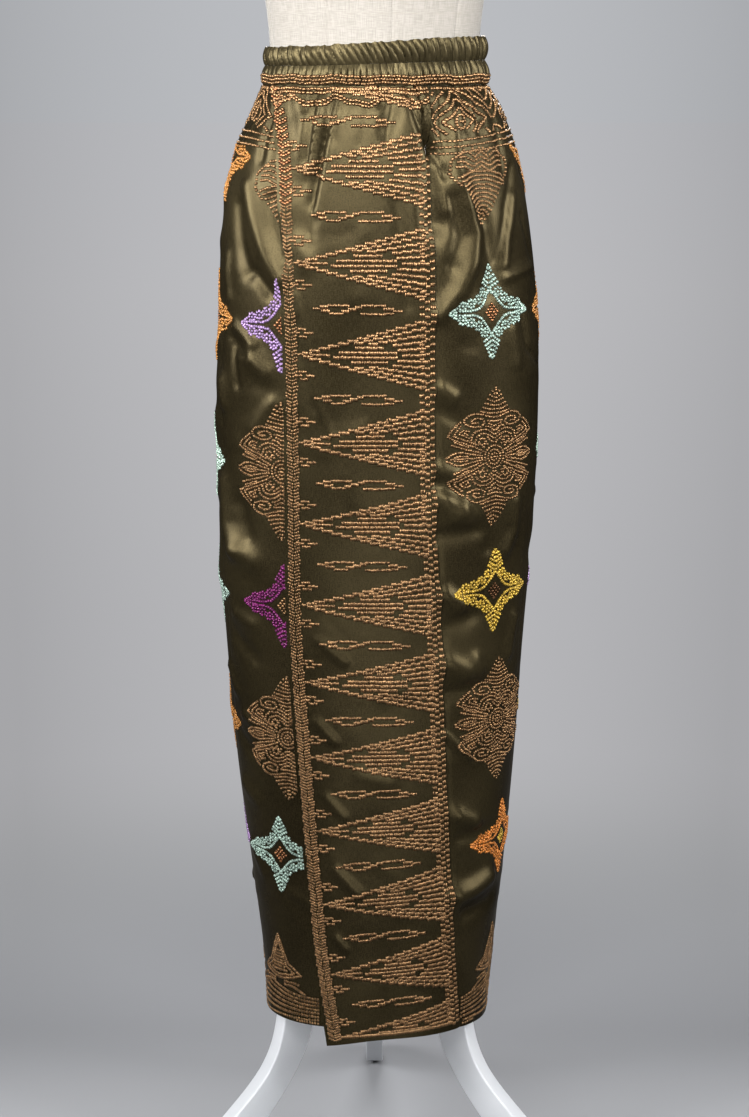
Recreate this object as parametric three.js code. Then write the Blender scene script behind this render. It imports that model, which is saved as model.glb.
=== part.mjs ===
// Songket wrap skirt on a limbless dress form with a three-legged stand.
// Millimetres, +Z up, the front of the skirt faces -Y, the floor is z = 0.
import * as THREE from 'three';

// ---- driving dimensions ----
const waistTop = 1214.5;          // middle of the top edge of the waistband
const waistTilt = 5.5;            // the right side of that edge sits this much higher, the left side lower
const casingSeam = 1193.5;        // stitching between the two elastic casings
const bandFoot = 1172.5;          // stitching between the lower casing and the panels
const seamGap = 0.3;
const clothWall = 1.5;
const bandWall = 2.2;
const bandEase = 0.6;             // room between the form and the casings
const bandGathers = 30;
const gatherDepth = 1.3;          // crest to mean of one gather in the casings
const stitchedCrest = 0.4;        // share of that depth left at a casing's stitched edges
const flapLift = 2.2;             // how far the free edge of the overlap lies above the underlap
const underlapReach = 0.5;        // share of the overlap's width that has the underlap below it
const foldRadius = 150;           // mean radius that turns an azimuth into millimetres around
const panelGathers = 44;          // gathers that run out of the waist seam, all round
const panelGatherDepth = 1.2;
const panelGatherRun = 42;        // they fade out over about this height

// Outer sections of the skirt, from the waist seam to the hem.
const skirtSections = [
  { z: 1172, halfWidth: 115.0, centreX: 0.6, front: 85, back: 89, power: 2.05 },
  { z: 1146, halfWidth: 128.2, centreX: 2.6, front: 93, back: 99, power: 2.08 },
  { z: 1106, halfWidth: 144.6, centreX: 0.8, front: 97, back: 108, power: 2.10 },
  { z: 1024, halfWidth: 159.0, centreX: 1.6, front: 103, back: 118, power: 2.15 },
  { z: 930, halfWidth: 165.8, centreX: 4.0, front: 106, back: 124, power: 2.20 },
  { z: 815, halfWidth: 168.4, centreX: 2.8, front: 107, back: 126, power: 2.20 },
  { z: 700, halfWidth: 165.0, centreX: 1.4, front: 108, back: 126, power: 2.22 },
  { z: 598, halfWidth: 158.8, centreX: 0.2, front: 109, back: 126, power: 2.25 },
  { z: 464, halfWidth: 149.4, centreX: 1.2, front: 110, back: 126, power: 2.35 },
  { z: 326, halfWidth: 135.2, centreX: 3.6, front: 111, back: 127, power: 2.50 },
  { z: 233, halfWidth: 124.4, centreX: 3.6, front: 112, back: 128, power: 2.65 },
  { z: 160, halfWidth: 119.6, centreX: 2.4, front: 112, back: 129, power: 2.70 },
];

// Where the overlap's free edge and its seam run, in millimetres to the right of the middle.
const overlapEdges = [
  { z: 1172, free: -104.0, seam: 54.2 },
  { z: 1101, free: -98.2, seam: 57.8 },
  { z: 1023, free: -94.4, seam: 61.0 },
  { z: 887, free: -91.6, seam: 61.9 },
  { z: 760, free: -91.0, seam: 63.4 },
  { z: 626, free: -90.0, seam: 70.2 },
  { z: 482, free: -81.8, seam: 75.6 },
  { z: 365, free: -73.2, seam: 81.0 },
  { z: 271, free: -65.2, seam: 86.4 },
  { z: 160, free: -49.0, seam: 93.0 },
];

// Azimuth of the two side seams, in degrees from the front.
const sideSeams = [
  { z: 1172, azimuth: 90 },
  { z: 930, azimuth: 77 },
  { z: 600, azimuth: 78 },
  { z: 160, azimuth: 84 },
];

// Height of the hem by azimuth, in degrees from the front towards the right.
const hemLine = [
  { azimuth: -27, z: 168 },
  { azimuth: 0, z: 176 },
  { azimuth: 34, z: 180 },
  { azimuth: 50, z: 181 },
  { azimuth: 72, z: 177 },
  { azimuth: 90, z: 174 },
  { azimuth: 180, z: 172 },
  { azimuth: 270, z: 177 },
  { azimuth: 300, z: 186 },
  { azimuth: 334, z: 189 },
  { azimuth: 370, z: 189 },
];

// Largest folds: soft ridges (depth > 0) and troughs (depth < 0) along straight runs.
const folds = [
  { fromAz: 37, fromZ: 1140, toAz: 33, toZ: 1040, width: 15, depth: -7.0 },   // deep fold at the overlap's seam
  { fromAz: 46, fromZ: 1150, toAz: 40, toZ: 1010, width: 17, depth: 4.0 },    // its ridge
  { fromAz: 10, fromZ: 1152, toAz: 6, toZ: 1130, width: 11, depth: -3.5 },
  { fromAz: 58, fromZ: 1145, toAz: 66, toZ: 1100, width: 13, depth: -5.0 },
  { fromAz: -30, fromZ: 1120, toAz: -36, toZ: 1030, width: 13, depth: -4.0 },
  { fromAz: -50, fromZ: 1140, toAz: -42, toZ: 1080, width: 14, depth: -3.5 },
  { fromAz: -60, fromZ: 1070, toAz: -74, toZ: 970, width: 20, depth: 4.0 },
  { fromAz: -66, fromZ: 890, toAz: -76, toZ: 870, width: 26, depth: 4.5 },
  { fromAz: -70, fromZ: 700, toAz: -80, toZ: 670, width: 26, depth: 4.0 },
  { fromAz: 44, fromZ: 990, toAz: 40, toZ: 900, width: 24, depth: 3.5 },
  { fromAz: 46, fromZ: 765, toAz: 52, toZ: 745, width: 24, depth: 3.5 },
  { fromAz: 50, fromZ: 560, toAz: 44, toZ: 600, width: 24, depth: 3.0 },
  { fromAz: 52, fromZ: 420, toAz: 60, toZ: 400, width: 24, depth: 3.0 },
  { fromAz: 118, fromZ: 1140, toAz: 112, toZ: 1050, width: 18, depth: -5.0 },
  { fromAz: 150, fromZ: 1140, toAz: 146, toZ: 1080, width: 16, depth: -5.0 },
  { fromAz: 196, fromZ: 1140, toAz: 199, toZ: 1070, width: 17, depth: -5.5 },
  { fromAz: 236, fromZ: 1140, toAz: 243, toZ: 1060, width: 18, depth: -5.0 },
  { fromAz: 128, fromZ: 900, toAz: 146, toZ: 860, width: 30, depth: 4.0 },
  { fromAz: 214, fromZ: 780, toAz: 232, toZ: 740, width: 30, depth: 4.0 },
  { fromAz: 150, fromZ: 560, toAz: 134, toZ: 520, width: 30, depth: 3.5 },
  { fromAz: 205, fromZ: 390, toAz: 222, toZ: 360, width: 28, depth: 3.0 },
];

// Sections of the form's body, from its flat underside to the top of the neck.
const formSections = [
  { z: 838, halfWidth: 44, front: 36, back: 40, power: 2.0 },
  { z: 842, halfWidth: 78, front: 56, back: 68, power: 2.0 },
  { z: 853, halfWidth: 112, front: 74, back: 90, power: 2.05 },
  { z: 876, halfWidth: 138, front: 87, back: 105, power: 2.1 },
  { z: 915, halfWidth: 152, front: 95, back: 114, power: 2.1 },
  { z: 965, halfWidth: 156, front: 98, back: 116, power: 2.1 },
  { z: 1015, halfWidth: 150, front: 97, back: 110, power: 2.1 },
  { z: 1070, halfWidth: 138, front: 90, back: 101, power: 2.05 },
  { z: 1120, halfWidth: 123, front: 84, back: 91, power: 2.0 },
  { z: 1172, halfWidth: 110.0, front: 79.8, back: 83.8, power: 2.0 },
  { z: 1183, halfWidth: 108.5, front: 79.1, back: 82.5, power: 2.0 },
  { z: 1194, halfWidth: 107.2, front: 78.6, back: 81.5, power: 2.0 },
  { z: 1205, halfWidth: 106.6, front: 78.6, back: 81, power: 2.0 },
  { z: 1222, halfWidth: 107.0, front: 79.6, back: 81, power: 2.0 },
  { z: 1255, halfWidth: 110.6, front: 84, back: 83, power: 2.0 },
  { z: 1300, halfWidth: 118, front: 95, back: 88, power: 2.05 },
  { z: 1345, halfWidth: 127, front: 111, back: 94, power: 2.1 },
  { z: 1380, halfWidth: 133, front: 117, back: 99, power: 2.1 },
  { z: 1425, halfWidth: 137, front: 108, back: 103, power: 2.1 },
  { z: 1475, halfWidth: 145, front: 92, back: 104, power: 2.15 },
  { z: 1520, halfWidth: 155, front: 77, back: 97, power: 2.2 },
  { z: 1552, halfWidth: 156, front: 64, back: 84, power: 2.2 },
  { z: 1574, halfWidth: 138, front: 55, back: 72, power: 2.1 },
  { z: 1590, halfWidth: 98, front: 52, back: 62, power: 2.0 },
  { z: 1604, halfWidth: 66, front: 51, back: 55, power: 2.0 },
  { z: 1628, halfWidth: 54, front: 50, back: 50, power: 2.0 },
  { z: 1650, halfWidth: 52, front: 50, back: 50, power: 2.0 },
];
const formColumns = 44;

// Stand
const poleRadius = 14;
const poleFoot = 300;
const hubFoot = 330;
const hubTop = 440;
const hubApothem = 30;            // distance from the axis to the flats that carry the legs
const legBoard = 20;              // thickness of a leg
const legChamfer = 2;
const footRest = 5;               // underside of a leg's foot
const footTip = [                 // rounded end of the foot
  { reach: 250, z: 14 },
  { reach: 246, z: footRest },
];
const legEdgeSteps = 18;
const glideRadius = 9;
const glideHeight = footRest - seamGap;
const glideReach = 226;           // from the axis to the middle of a glide
const legOuterEdge = [            // outline of a leg, away from the axis
  { reach: hubApothem + seamGap, z: 432 },
  { reach: 66, z: 420 },
  { reach: 100, z: 356 },
  { reach: 114, z: 260 },
  { reach: 118, z: 178 },
  { reach: 137, z: 124 },
  { reach: 186, z: 74 },
  { reach: 226, z: 44 },
  { reach: 248, z: 24 },
];
const legInnerEdge = [            // and its side towards the axis
  { reach: 208, z: footRest },
  { reach: 176, z: 34 },
  { reach: 139, z: 70 },
  { reach: 101, z: 122 },
  { reach: 82, z: 170 },
  { reach: 78, z: 240 },
  { reach: 70, z: 310 },
  { reach: 52, z: 352 },
  { reach: hubApothem + seamGap, z: 362 },
];
const legs = [
  { name: 'left', azimuth: -60 },
  { name: 'right', azimuth: 60 },
  { name: 'rear', azimuth: 180 },
];

// ---- materials ----
const satin = new THREE.MeshStandardMaterial({ color: 0x5f583c, roughness: 0.42, metalness: 0.3 });
const brocade = new THREE.MeshStandardMaterial({ color: 0x6b5a3c, roughness: 0.5, metalness: 0.3 });
const linen = new THREE.MeshStandardMaterial({ color: 0xebe6de, roughness: 0.9, metalness: 0 });
const paint = new THREE.MeshStandardMaterial({ color: 0xe1e4e8, roughness: 0.45, metalness: 0 });
const steel = new THREE.MeshStandardMaterial({ color: 0x9a9ca0, roughness: 0.35, metalness: 0.9 });
const rubber = new THREE.MeshStandardMaterial({ color: 0x151515, roughness: 0.8, metalness: 0 });

// ---- sections and surfaces ----
const radians = THREE.MathUtils.degToRad;

// Smooth value of one column of a table at a place between its rows.
function readTable(rows, column, key, at) {
  const up = rows[0][key] < rows[rows.length - 1][key];
  const sorted = up ? rows : [...rows].reverse();
  const last = sorted.length - 1;
  let i = sorted.findIndex((row) => row[key] > at) - 1;
  if (i === -2) i = last - 1;
  i = Math.max(0, Math.min(i, last - 1));
  const slope = (a, b) => (sorted[b][column] - sorted[a][column]) / (sorted[b][key] - sorted[a][key]);
  const step = sorted[i + 1][key] - sorted[i][key];
  const t = THREE.MathUtils.clamp((at - sorted[i][key]) / step, 0, 1);
  const startSlope = step * slope(Math.max(0, i - 1), i + 1);
  const endSlope = step * slope(i, Math.min(last, i + 2));
  const a = sorted[i][column];
  const b = sorted[i + 1][column];
  const t2 = t * t;
  const t3 = t2 * t;
  return a * (2 * t3 - 3 * t2 + 1) + startSlope * (t3 - 2 * t2 + t)
    + b * (3 * t2 - 2 * t3) + endSlope * (t3 - t2);
}

// Distance from the section's middle to its rim at an azimuth (0 is the front, 90 the right side).
function rimRadius(rows, azimuth, z) {
  const s = Math.sin(radians(azimuth));
  const c = Math.cos(radians(azimuth));
  const wide = readTable(rows, 'halfWidth', 'z', z);
  const deep = readTable(rows, c > 0 ? 'front' : 'back', 'z', z);
  const power = readTable(rows, 'power', 'z', z);
  return (Math.abs(s / wide) ** power + Math.abs(c / deep) ** power) ** (-1 / power);
}

// Azimuth at which the front of the skirt lies a given way to the right of the middle.
function azimuthOf(x, z) {
  const wide = readTable(skirtSections, 'halfWidth', 'z', z);
  const deep = readTable(skirtSections, 'front', 'z', z);
  const power = readTable(skirtSections, 'power', 'z', z);
  const across = x - readTable(skirtSections, 'centreX', 'z', z);
  const ahead = deep * (1 - Math.min(1, Math.abs(across / wide)) ** power) ** (1 / power);
  return THREE.MathUtils.radToDeg(Math.atan2(across, ahead));
}

// Height that the folds and the gathers add to the cloth at a place.
function foldHeight(azimuth, z) {
  let height = 0;
  for (const fold of folds) {
    const middle = (fold.fromAz + fold.toAz) / 2;
    const near = azimuth - 360 * Math.round((azimuth - middle) / 360);
    const start = new THREE.Vector2(radians(fold.fromAz) * foldRadius, fold.fromZ);
    const run = new THREE.Vector2(radians(fold.toAz) * foldRadius, fold.toZ).sub(start);
    const place = new THREE.Vector2(radians(near) * foldRadius, z).sub(start);
    const along = THREE.MathUtils.clamp(place.dot(run) / run.lengthSq(), 0, 1);
    const away = place.sub(run.multiplyScalar(along)).length();
    height += fold.depth * Math.exp(-((away / fold.width) ** 2));
  }
  const fade = Math.exp(-(bandFoot - z) / panelGatherRun);
  return height + panelGatherDepth * fade * Math.cos(radians(azimuth) * panelGathers);
}

function skirtPoint(azimuth, z) {
  const radius = rimRadius(skirtSections, azimuth, z) + foldHeight(azimuth, z);
  const centreX = readTable(skirtSections, 'centreX', 'z', z);
  const turn = radians(azimuth);
  return new THREE.Vector3(centreX + radius * Math.sin(turn), -radius * Math.cos(turn), z);
}

// Point of the skirt's surface moved out level, square to the surface.
function liftedPoint(azimuth, z, lift) {
  const turnStep = 0.5;
  const heightStep = 2;
  const around = skirtPoint(azimuth + turnStep, z).sub(skirtPoint(azimuth - turnStep, z));
  const upward = skirtPoint(azimuth, z + heightStep).sub(skirtPoint(azimuth, z - heightStep));
  const normal = around.cross(upward).setZ(0).normalize();
  return skirtPoint(azimuth, z).addScaledVector(normal, lift);
}

// Closed solid between two grids of points that face each other, rows by columns.
// A ring's last column joins its first one.
function wallGeometry(outer, inner, ring = false) {
  const rows = outer.length;
  const columns = outer[0].length;
  const positions = [...outer.flat(), ...inner.flat()].flatMap((point) => point.toArray());
  const front = (row, column) => row * columns + (column % columns);
  const behind = (row, column) => rows * columns + front(row, column);
  const index = [];
  const quad = (a, b, c, d) => index.push(a, b, c, a, c, d);
  const spans = ring ? columns : columns - 1;
  for (let row = 0; row < rows - 1; row += 1) {
    for (let column = 0; column < spans; column += 1) {
      quad(front(row, column), front(row + 1, column), front(row + 1, column + 1), front(row, column + 1));
      quad(behind(row, column), behind(row, column + 1), behind(row + 1, column + 1), behind(row + 1, column));
    }
    if (!ring) {
      const end = columns - 1;
      quad(front(row, 0), behind(row, 0), behind(row + 1, 0), front(row + 1, 0));
      quad(front(row, end), front(row + 1, end), behind(row + 1, end), behind(row, end));
    }
  }
  for (let column = 0; column < spans; column += 1) {
    const foot = rows - 1;
    quad(front(0, column), front(0, column + 1), behind(0, column + 1), behind(0, column));
    quad(front(foot, column), behind(foot, column), behind(foot, column + 1), front(foot, column + 1));
  }
  const geometry = new THREE.BufferGeometry();
  geometry.setAttribute('position', new THREE.Float32BufferAttribute(positions, 3));
  geometry.setIndex(index);
  geometry.computeVertexNormals();
  return geometry;
}

// ---- cloth panels ----
// Shares of the drop from the waist seam to the hem: closer near the waist, where the gathers are.
const dropRows = [0, 0.018, 0.04, 0.065, 0.095, 0.13, 0.17, 0.215, 0.265, 0.32, 0.38, 0.44, 0.5,
  0.56, 0.62, 0.68, 0.74, 0.8, 0.86, 0.92, 0.965, 1];
const panelTop = bandFoot - seamGap;

const flapEdge = (z) => azimuthOf(readTable(overlapEdges, 'free', 'z', z), z);
const flapSeam = (z) => azimuthOf(readTable(overlapEdges, 'seam', 'z', z), z);
const sideSeam = (z) => readTable(sideSeams, 'azimuth', 'z', z);
const halfGap = (azimuth, z) => THREE.MathUtils.radToDeg(seamGap / 2 / rimRadius(skirtSections, azimuth, z));

// A panel's wall: each column gives the azimuth and the lift of its cloth at a height,
// and the azimuth at which the hem is read.
function panelGeometry(columns) {
  const outer = [];
  const inner = [];
  for (const drop of dropRows) {
    const outerRow = [];
    const innerRow = [];
    for (const column of columns) {
      const hem = readTable(hemLine, 'z', 'azimuth', column.hemAzimuth);
      const z = panelTop + (hem - panelTop) * drop;
      const azimuth = column.azimuth(z);
      outerRow.push(liftedPoint(azimuth, z, column.lift));
      innerRow.push(liftedPoint(azimuth, z, column.lift - clothWall));
    }
    outer.push(outerRow);
    inner.push(innerRow);
  }
  return wallGeometry(outer, inner);
}

const hemLevel = 170;

// Columns between two lines, evenly spread, kept half a seam gap away from the lines that are seams.
function columnsBetween(from, to, count, { seamStart = true, seamEnd = true } = {}) {
  return Array.from({ length: count + 1 }, (_, i) => {
    const share = i / count;
    const azimuth = (z) => {
      const start = from(z) + (seamStart ? halfGap(from(z), z) : 0);
      const end = to(z) - (seamEnd ? halfGap(to(z), z) : 0);
      return start + (end - start) * share;
    };
    return { azimuth, lift: 0, hemAzimuth: azimuth(hemLevel) };
  });
}

const flapColumns = 10;
const frontPanelColumns = columnsBetween(flapEdge, flapSeam, flapColumns, { seamStart: false })
  .map((column, i) => ({ ...column, lift: flapLift * (1 - i / flapColumns) }));

const underColumns = Math.round(flapColumns * underlapReach);
const leftFrontColumns = [
  ...columnsBetween((z) => -sideSeam(z), flapEdge, 5, { seamEnd: false }).slice(0, -1),
  ...columnsBetween(flapEdge, flapSeam, flapColumns, { seamStart: false }).slice(0, underColumns + 1)
    .map((column, i) => ({ ...column, lift: -flapLift * (i / flapColumns) })),
].map((column) => ({ ...column, hemAzimuth: column.hemAzimuth + 360 }));

const frontRightColumns = columnsBetween(flapSeam, sideSeam, 6);
const backColumns = columnsBetween(sideSeam, (z) => 360 - sideSeam(z), 18);

// ---- elastic casings ----
const bandRingColumns = bandGathers * 2;

// A gathered ring around the form, from one height to another, each height given for the
// middle with its tilt to the right.
function casingGeometry(topZ, topTilt, footZ, footTilt, phase) {
  const levels = [0, 0.35, 0.7, 1];
  const outer = [];
  const inner = [];
  for (const level of levels) {
    const belly = Math.sin(Math.PI * level);
    const outerRow = [];
    const innerRow = [];
    for (let column = 0; column < bandRingColumns; column += 1) {
      const azimuth = (360 / bandRingColumns) * column;
      const turn = radians(azimuth);
      const tilt = topTilt + (footTilt - topTilt) * level;
      const z = topZ + (footZ - topZ) * level + tilt * Math.sin(turn);
      const crest = gatherDepth * (1 + Math.cos(Math.PI * (column + phase)));
      const seat = rimRadius(formSections, azimuth, z) + bandEase;
      const radius = seat + bandWall + (stitchedCrest + (1 - stitchedCrest) * belly) * crest;
      outerRow.push(new THREE.Vector3(radius * Math.sin(turn), -radius * Math.cos(turn), z));
      innerRow.push(new THREE.Vector3(seat * Math.sin(turn), -seat * Math.cos(turn), z));
    }
    outer.push(outerRow);
    inner.push(innerRow);
  }
  return wallGeometry(outer, inner, true);
}

// ---- dress form ----
function formGeometry() {
  const lowerRow = formSections.map((section) => {
    const row = [];
    for (let column = 0; column < formColumns; column += 1) {
      const azimuth = (360 / formColumns) * column;
      const radius = rimRadius(formSections, azimuth, section.z);
      const turn = radians(azimuth);
      row.push(new THREE.Vector3(radius * Math.sin(turn), -radius * Math.cos(turn), section.z));
    }
    return row;
  });
  const positions = lowerRow.flat().flatMap((point) => point.toArray());
  const index = [];
  const rows = lowerRow.length;
  const at = (row, column) => row * formColumns + (column % formColumns);
  for (let row = 0; row < rows - 1; row += 1) {
    for (let column = 0; column < formColumns; column += 1) {
      index.push(at(row, column), at(row, column + 1), at(row + 1, column + 1));
      index.push(at(row, column), at(row + 1, column + 1), at(row + 1, column));
    }
  }
  const underside = positions.length / 3;
  positions.push(0, 0, formSections[0].z);
  positions.push(0, 0, formSections[rows - 1].z);
  for (let column = 0; column < formColumns; column += 1) {
    index.push(underside, at(0, column + 1), at(0, column));
    index.push(underside + 1, at(rows - 1, column), at(rows - 1, column + 1));
  }
  const geometry = new THREE.BufferGeometry();
  geometry.setAttribute('position', new THREE.Float32BufferAttribute(positions, 3));
  geometry.setIndex(index);
  geometry.computeVertexNormals();
  return geometry;
}

// A turned piece on the vertical axis from its outline of radii and heights.
function turnedGeometry(outline, segments) {
  const points = outline.map(([radius, z]) => new THREE.Vector2(radius, z));
  return new THREE.LatheGeometry(points, segments).rotateX(Math.PI / 2);
}

// ---- stand ----
function legGeometry() {
  const corners = (rows) => rows.map((row) => new THREE.Vector2(row.reach, row.z));
  const edge = (rows) => new THREE.SplineCurve(corners(rows)).getPoints(legEdgeSteps);
  const outline = [...edge(legOuterEdge), ...corners(footTip), ...edge(legInnerEdge)];
  const geometry = new THREE.ExtrudeGeometry(new THREE.Shape(outline), {
    depth: legBoard - 2 * legChamfer,
    bevelEnabled: true,
    bevelSize: legChamfer,
    bevelThickness: legChamfer,
    bevelOffset: -legChamfer,
    bevelSegments: 1,
  });
  // outline in the plane of X and Z, board thickness along Y
  return geometry.translate(0, 0, legChamfer - legBoard / 2).rotateX(Math.PI / 2);
}

// ---- assembly ----
const skirtOnForm = new THREE.Group();

function addPiece(name, geometry, material) {
  const piece = new THREE.Mesh(geometry, material);
  piece.name = name;
  skirtOnForm.add(piece);
  return piece;
}

addPiece('front_panel', panelGeometry(frontPanelColumns), brocade);
addPiece('front_right', panelGeometry(frontRightColumns), satin);
addPiece('left_front', panelGeometry(leftFrontColumns), satin);
addPiece('back', panelGeometry(backColumns), satin);

const middleTilt = waistTilt * 0.5;
addPiece('waistband_upper', casingGeometry(waistTop, waistTilt, casingSeam + seamGap, middleTilt, 0), satin);
addPiece('waistband_lower', casingGeometry(casingSeam, middleTilt, bandFoot, 0, 1), satin);

addPiece('form_torso', formGeometry(), linen);
const neckTop = formSections[formSections.length - 1].z;
addPiece('neck_cap', turnedGeometry([[0, 0], [53, 0], [54, 2], [54, 8], [50, 12], [34, 16], [0, 18]], 32), paint)
  .position.z = neckTop + seamGap;

const formFoot = formSections[0].z;
const flangeHeight = 10;
const flangeBore = poleRadius + seamGap;
addPiece('pole_flange', turnedGeometry([
  [flangeBore, 0], [34, 0], [36, 2], [36, flangeHeight], [flangeBore, flangeHeight], [flangeBore, 0],
], 24), steel).position.z = formFoot - flangeHeight - seamGap;
const poleLength = formFoot - seamGap - poleFoot;
addPiece('pole', new THREE.CylinderGeometry(poleRadius, poleRadius, poleLength, 24).rotateX(Math.PI / 2), steel)
  .position.z = poleFoot + poleLength / 2;

const hubCorner = hubApothem / Math.cos(Math.PI / 6);
const hubOutline = new THREE.Shape(Array.from({ length: 6 }, (_, i) => new THREE.Vector2(
  hubCorner * Math.cos((Math.PI / 3) * i),
  hubCorner * Math.sin((Math.PI / 3) * i),
)));
hubOutline.holes.push(new THREE.Path().absarc(0, 0, poleRadius + seamGap, 0, 2 * Math.PI, true));
addPiece('hub', new THREE.ExtrudeGeometry(hubOutline, {
  depth: hubTop - hubFoot, bevelEnabled: false, curveSegments: 12,
}), paint).position.z = hubFoot;

for (const leg of legs) {
  const bearing = radians(leg.azimuth - 90);      // from +X
  addPiece(`leg_${leg.name}`, legGeometry(), paint).rotation.z = bearing;
  const glide = addPiece(`glide_${leg.name}`,
    new THREE.CylinderGeometry(glideRadius, glideRadius, glideHeight, 20).rotateX(Math.PI / 2), rubber);
  glide.position.set(glideReach * Math.cos(bearing), glideReach * Math.sin(bearing), glideHeight / 2);
}

// the origin lies below the middle of the whole outline
const outlineBox = new THREE.Box3().setFromObject(skirtOnForm, true);
const middle = outlineBox.getCenter(new THREE.Vector3());
skirtOnForm.position.set(-middle.x, -middle.y, 0);

export default skirtOnForm;
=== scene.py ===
import math

import bpy
import numpy as np
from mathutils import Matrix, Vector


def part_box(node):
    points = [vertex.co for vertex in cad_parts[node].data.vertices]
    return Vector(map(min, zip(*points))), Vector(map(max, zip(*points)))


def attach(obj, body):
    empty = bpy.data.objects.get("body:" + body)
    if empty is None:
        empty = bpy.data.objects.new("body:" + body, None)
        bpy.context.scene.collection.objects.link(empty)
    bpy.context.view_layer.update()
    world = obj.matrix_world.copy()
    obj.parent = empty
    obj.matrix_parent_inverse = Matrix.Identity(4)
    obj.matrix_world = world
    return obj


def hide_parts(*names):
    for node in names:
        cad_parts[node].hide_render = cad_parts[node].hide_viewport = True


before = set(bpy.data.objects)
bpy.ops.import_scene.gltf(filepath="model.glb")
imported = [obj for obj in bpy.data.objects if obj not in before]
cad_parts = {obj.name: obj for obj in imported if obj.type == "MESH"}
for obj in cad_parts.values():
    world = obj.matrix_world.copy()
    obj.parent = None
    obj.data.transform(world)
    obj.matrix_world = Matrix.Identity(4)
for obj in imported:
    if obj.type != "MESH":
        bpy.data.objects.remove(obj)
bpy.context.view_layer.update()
millimetre = 0.001
poleLow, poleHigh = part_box("pole")
axisX = (poleLow[0] + poleHigh[0]) / 2
axisY = (poleLow[1] + poleHigh[1]) / 2
draws = np.random.default_rng(4127)
print("frame loaded")


# ---- camera ----
cameraPlace = {"distance": 2.450, "height": 1.226, "lookDown": 12.64, "lens": 75.96}

cameraData = bpy.data.cameras.new("camera")
cameraData.lens = cameraPlace["lens"]
camera = bpy.data.objects.new("camera", cameraData)
camera.location = (axisX, axisY - cameraPlace["distance"], cameraPlace["height"])
camera.rotation_euler = (math.radians(90 - cameraPlace["lookDown"]), 0, 0)
bpy.context.scene.collection.objects.link(camera)
bpy.context.scene.camera = camera


# ---- tables and sections ----
def makeTable(columns, rows):
    ordered = np.array(sorted(rows), float).T
    return dict(zip(columns.split(), ordered))


def readTable(table, column, at):  # smooth value between the rows, by the table's first column
    x = next(iter(table.values()))
    y = table[column]
    rows = np.arange(len(x))
    before = np.maximum(rows - 1, 0)
    after = np.minimum(rows + 1, len(x) - 1)
    slope = (y[after] - y[before]) / (x[after] - x[before])
    i = np.clip(np.searchsorted(x, at, side="right") - 1, 0, len(x) - 2)
    step = x[i + 1] - x[i]
    t = np.clip((at - x[i]) / step, 0, 1)
    startPart = y[i] * (2 * t**3 - 3 * t**2 + 1) + slope[i] * step * (t**3 - 2 * t**2 + t)
    return startPart + y[i + 1] * (3 * t**2 - 2 * t**3) + slope[i + 1] * step * (t**3 - t**2)

def between(start, end, share):
    return start + (end - start) * share


def gridRead(values, row, column):  # the value between four places of a grid whose columns run round
    i, j = row.astype(int), column.astype(int)
    v, u = row - i, column - j
    j, k = j % values.shape[1], (j + 1) % values.shape[1]
    low = values[i, j] * (1 - u) + values[i, k] * u
    return low * (1 - v) + (values[i + 1, j] * (1 - u) + values[i + 1, k] * u) * v
def rimRadius(sections, azimuth, z):
    turn = np.radians(azimuth)
    front, back = readTable(sections, "front", z), readTable(sections, "back", z)
    deep = np.where(np.cos(turn) > 0, front, back)
    power = readTable(sections, "power", z)
    across = np.abs(np.sin(turn) / readTable(sections, "halfWidth", z))
    return (across**power + np.abs(np.cos(turn) / deep) ** power) ** (-1 / power)


def aroundAxis(azimuth, radius, z, centreX=0.0):
    turn = np.radians(azimuth)
    return np.stack([centreX + radius * np.sin(turn), -radius * np.cos(turn), z + 0 * turn], axis=-1)


def inMetres(points):
    return (np.asarray(points, float) + (axisX / millimetre, axisY / millimetre, 0)) * millimetre


skirt = {
    "waistTop": 1214.5, "waistTilt": 5.5, "casingSeam": 1193.5, "bandFoot": 1172.5,
    "seamGap": 0.3, "wall": 1.5, "bandWall": 2.2, "bandEase": 0.6,
    "flapLift": 2.2, "underlap": 0.5, "meanRadius": 150, "hemLevel": 170, "mapped": (150.0, 1182.0),
}
panelTop = skirt["bandFoot"] - skirt["seamGap"]

skirtSections = makeTable("z halfWidth centreX front back power", [
    (1172, 115.0, 0.6, 85, 89, 2.05), (1146, 128.2, 2.6, 93, 99, 2.08), (1106, 144.6, 0.8, 97, 108, 2.10),
    (1024, 159.0, 1.6, 103, 118, 2.15), (930, 165.8, 4.0, 106, 124, 2.20), (815, 168.4, 2.8, 107, 126, 2.20),
    (700, 165.0, 1.4, 108, 126, 2.22), (598, 158.8, 0.2, 109, 126, 2.25), (464, 149.4, 1.2, 110, 126, 2.35),
    (326, 135.2, 3.6, 111, 127, 2.50), (233, 124.4, 3.6, 112, 128, 2.65), (160, 119.6, 2.4, 112, 129, 2.70),
])
overlapEdges = makeTable("z free seam", [
    (1172, -104.0, 54.2), (1101, -98.2, 57.8), (1023, -94.4, 61.0), (887, -91.6, 61.9), (760, -91.0, 63.4),
    (626, -90.0, 70.2), (482, -81.8, 75.6), (365, -73.2, 81.0), (271, -65.2, 86.4), (160, -49.0, 93.0),
])
sideSeams = makeTable("z azimuth", [(1172, 90), (930, 77), (600, 78), (160, 84)])
hemLine = makeTable("azimuth z", [
    (-27, 168), (0, 176), (34, 180), (50, 181), (72, 177), (90, 174),
    (180, 172), (270, 177), (300, 186), (334, 189), (370, 189),
])


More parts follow.
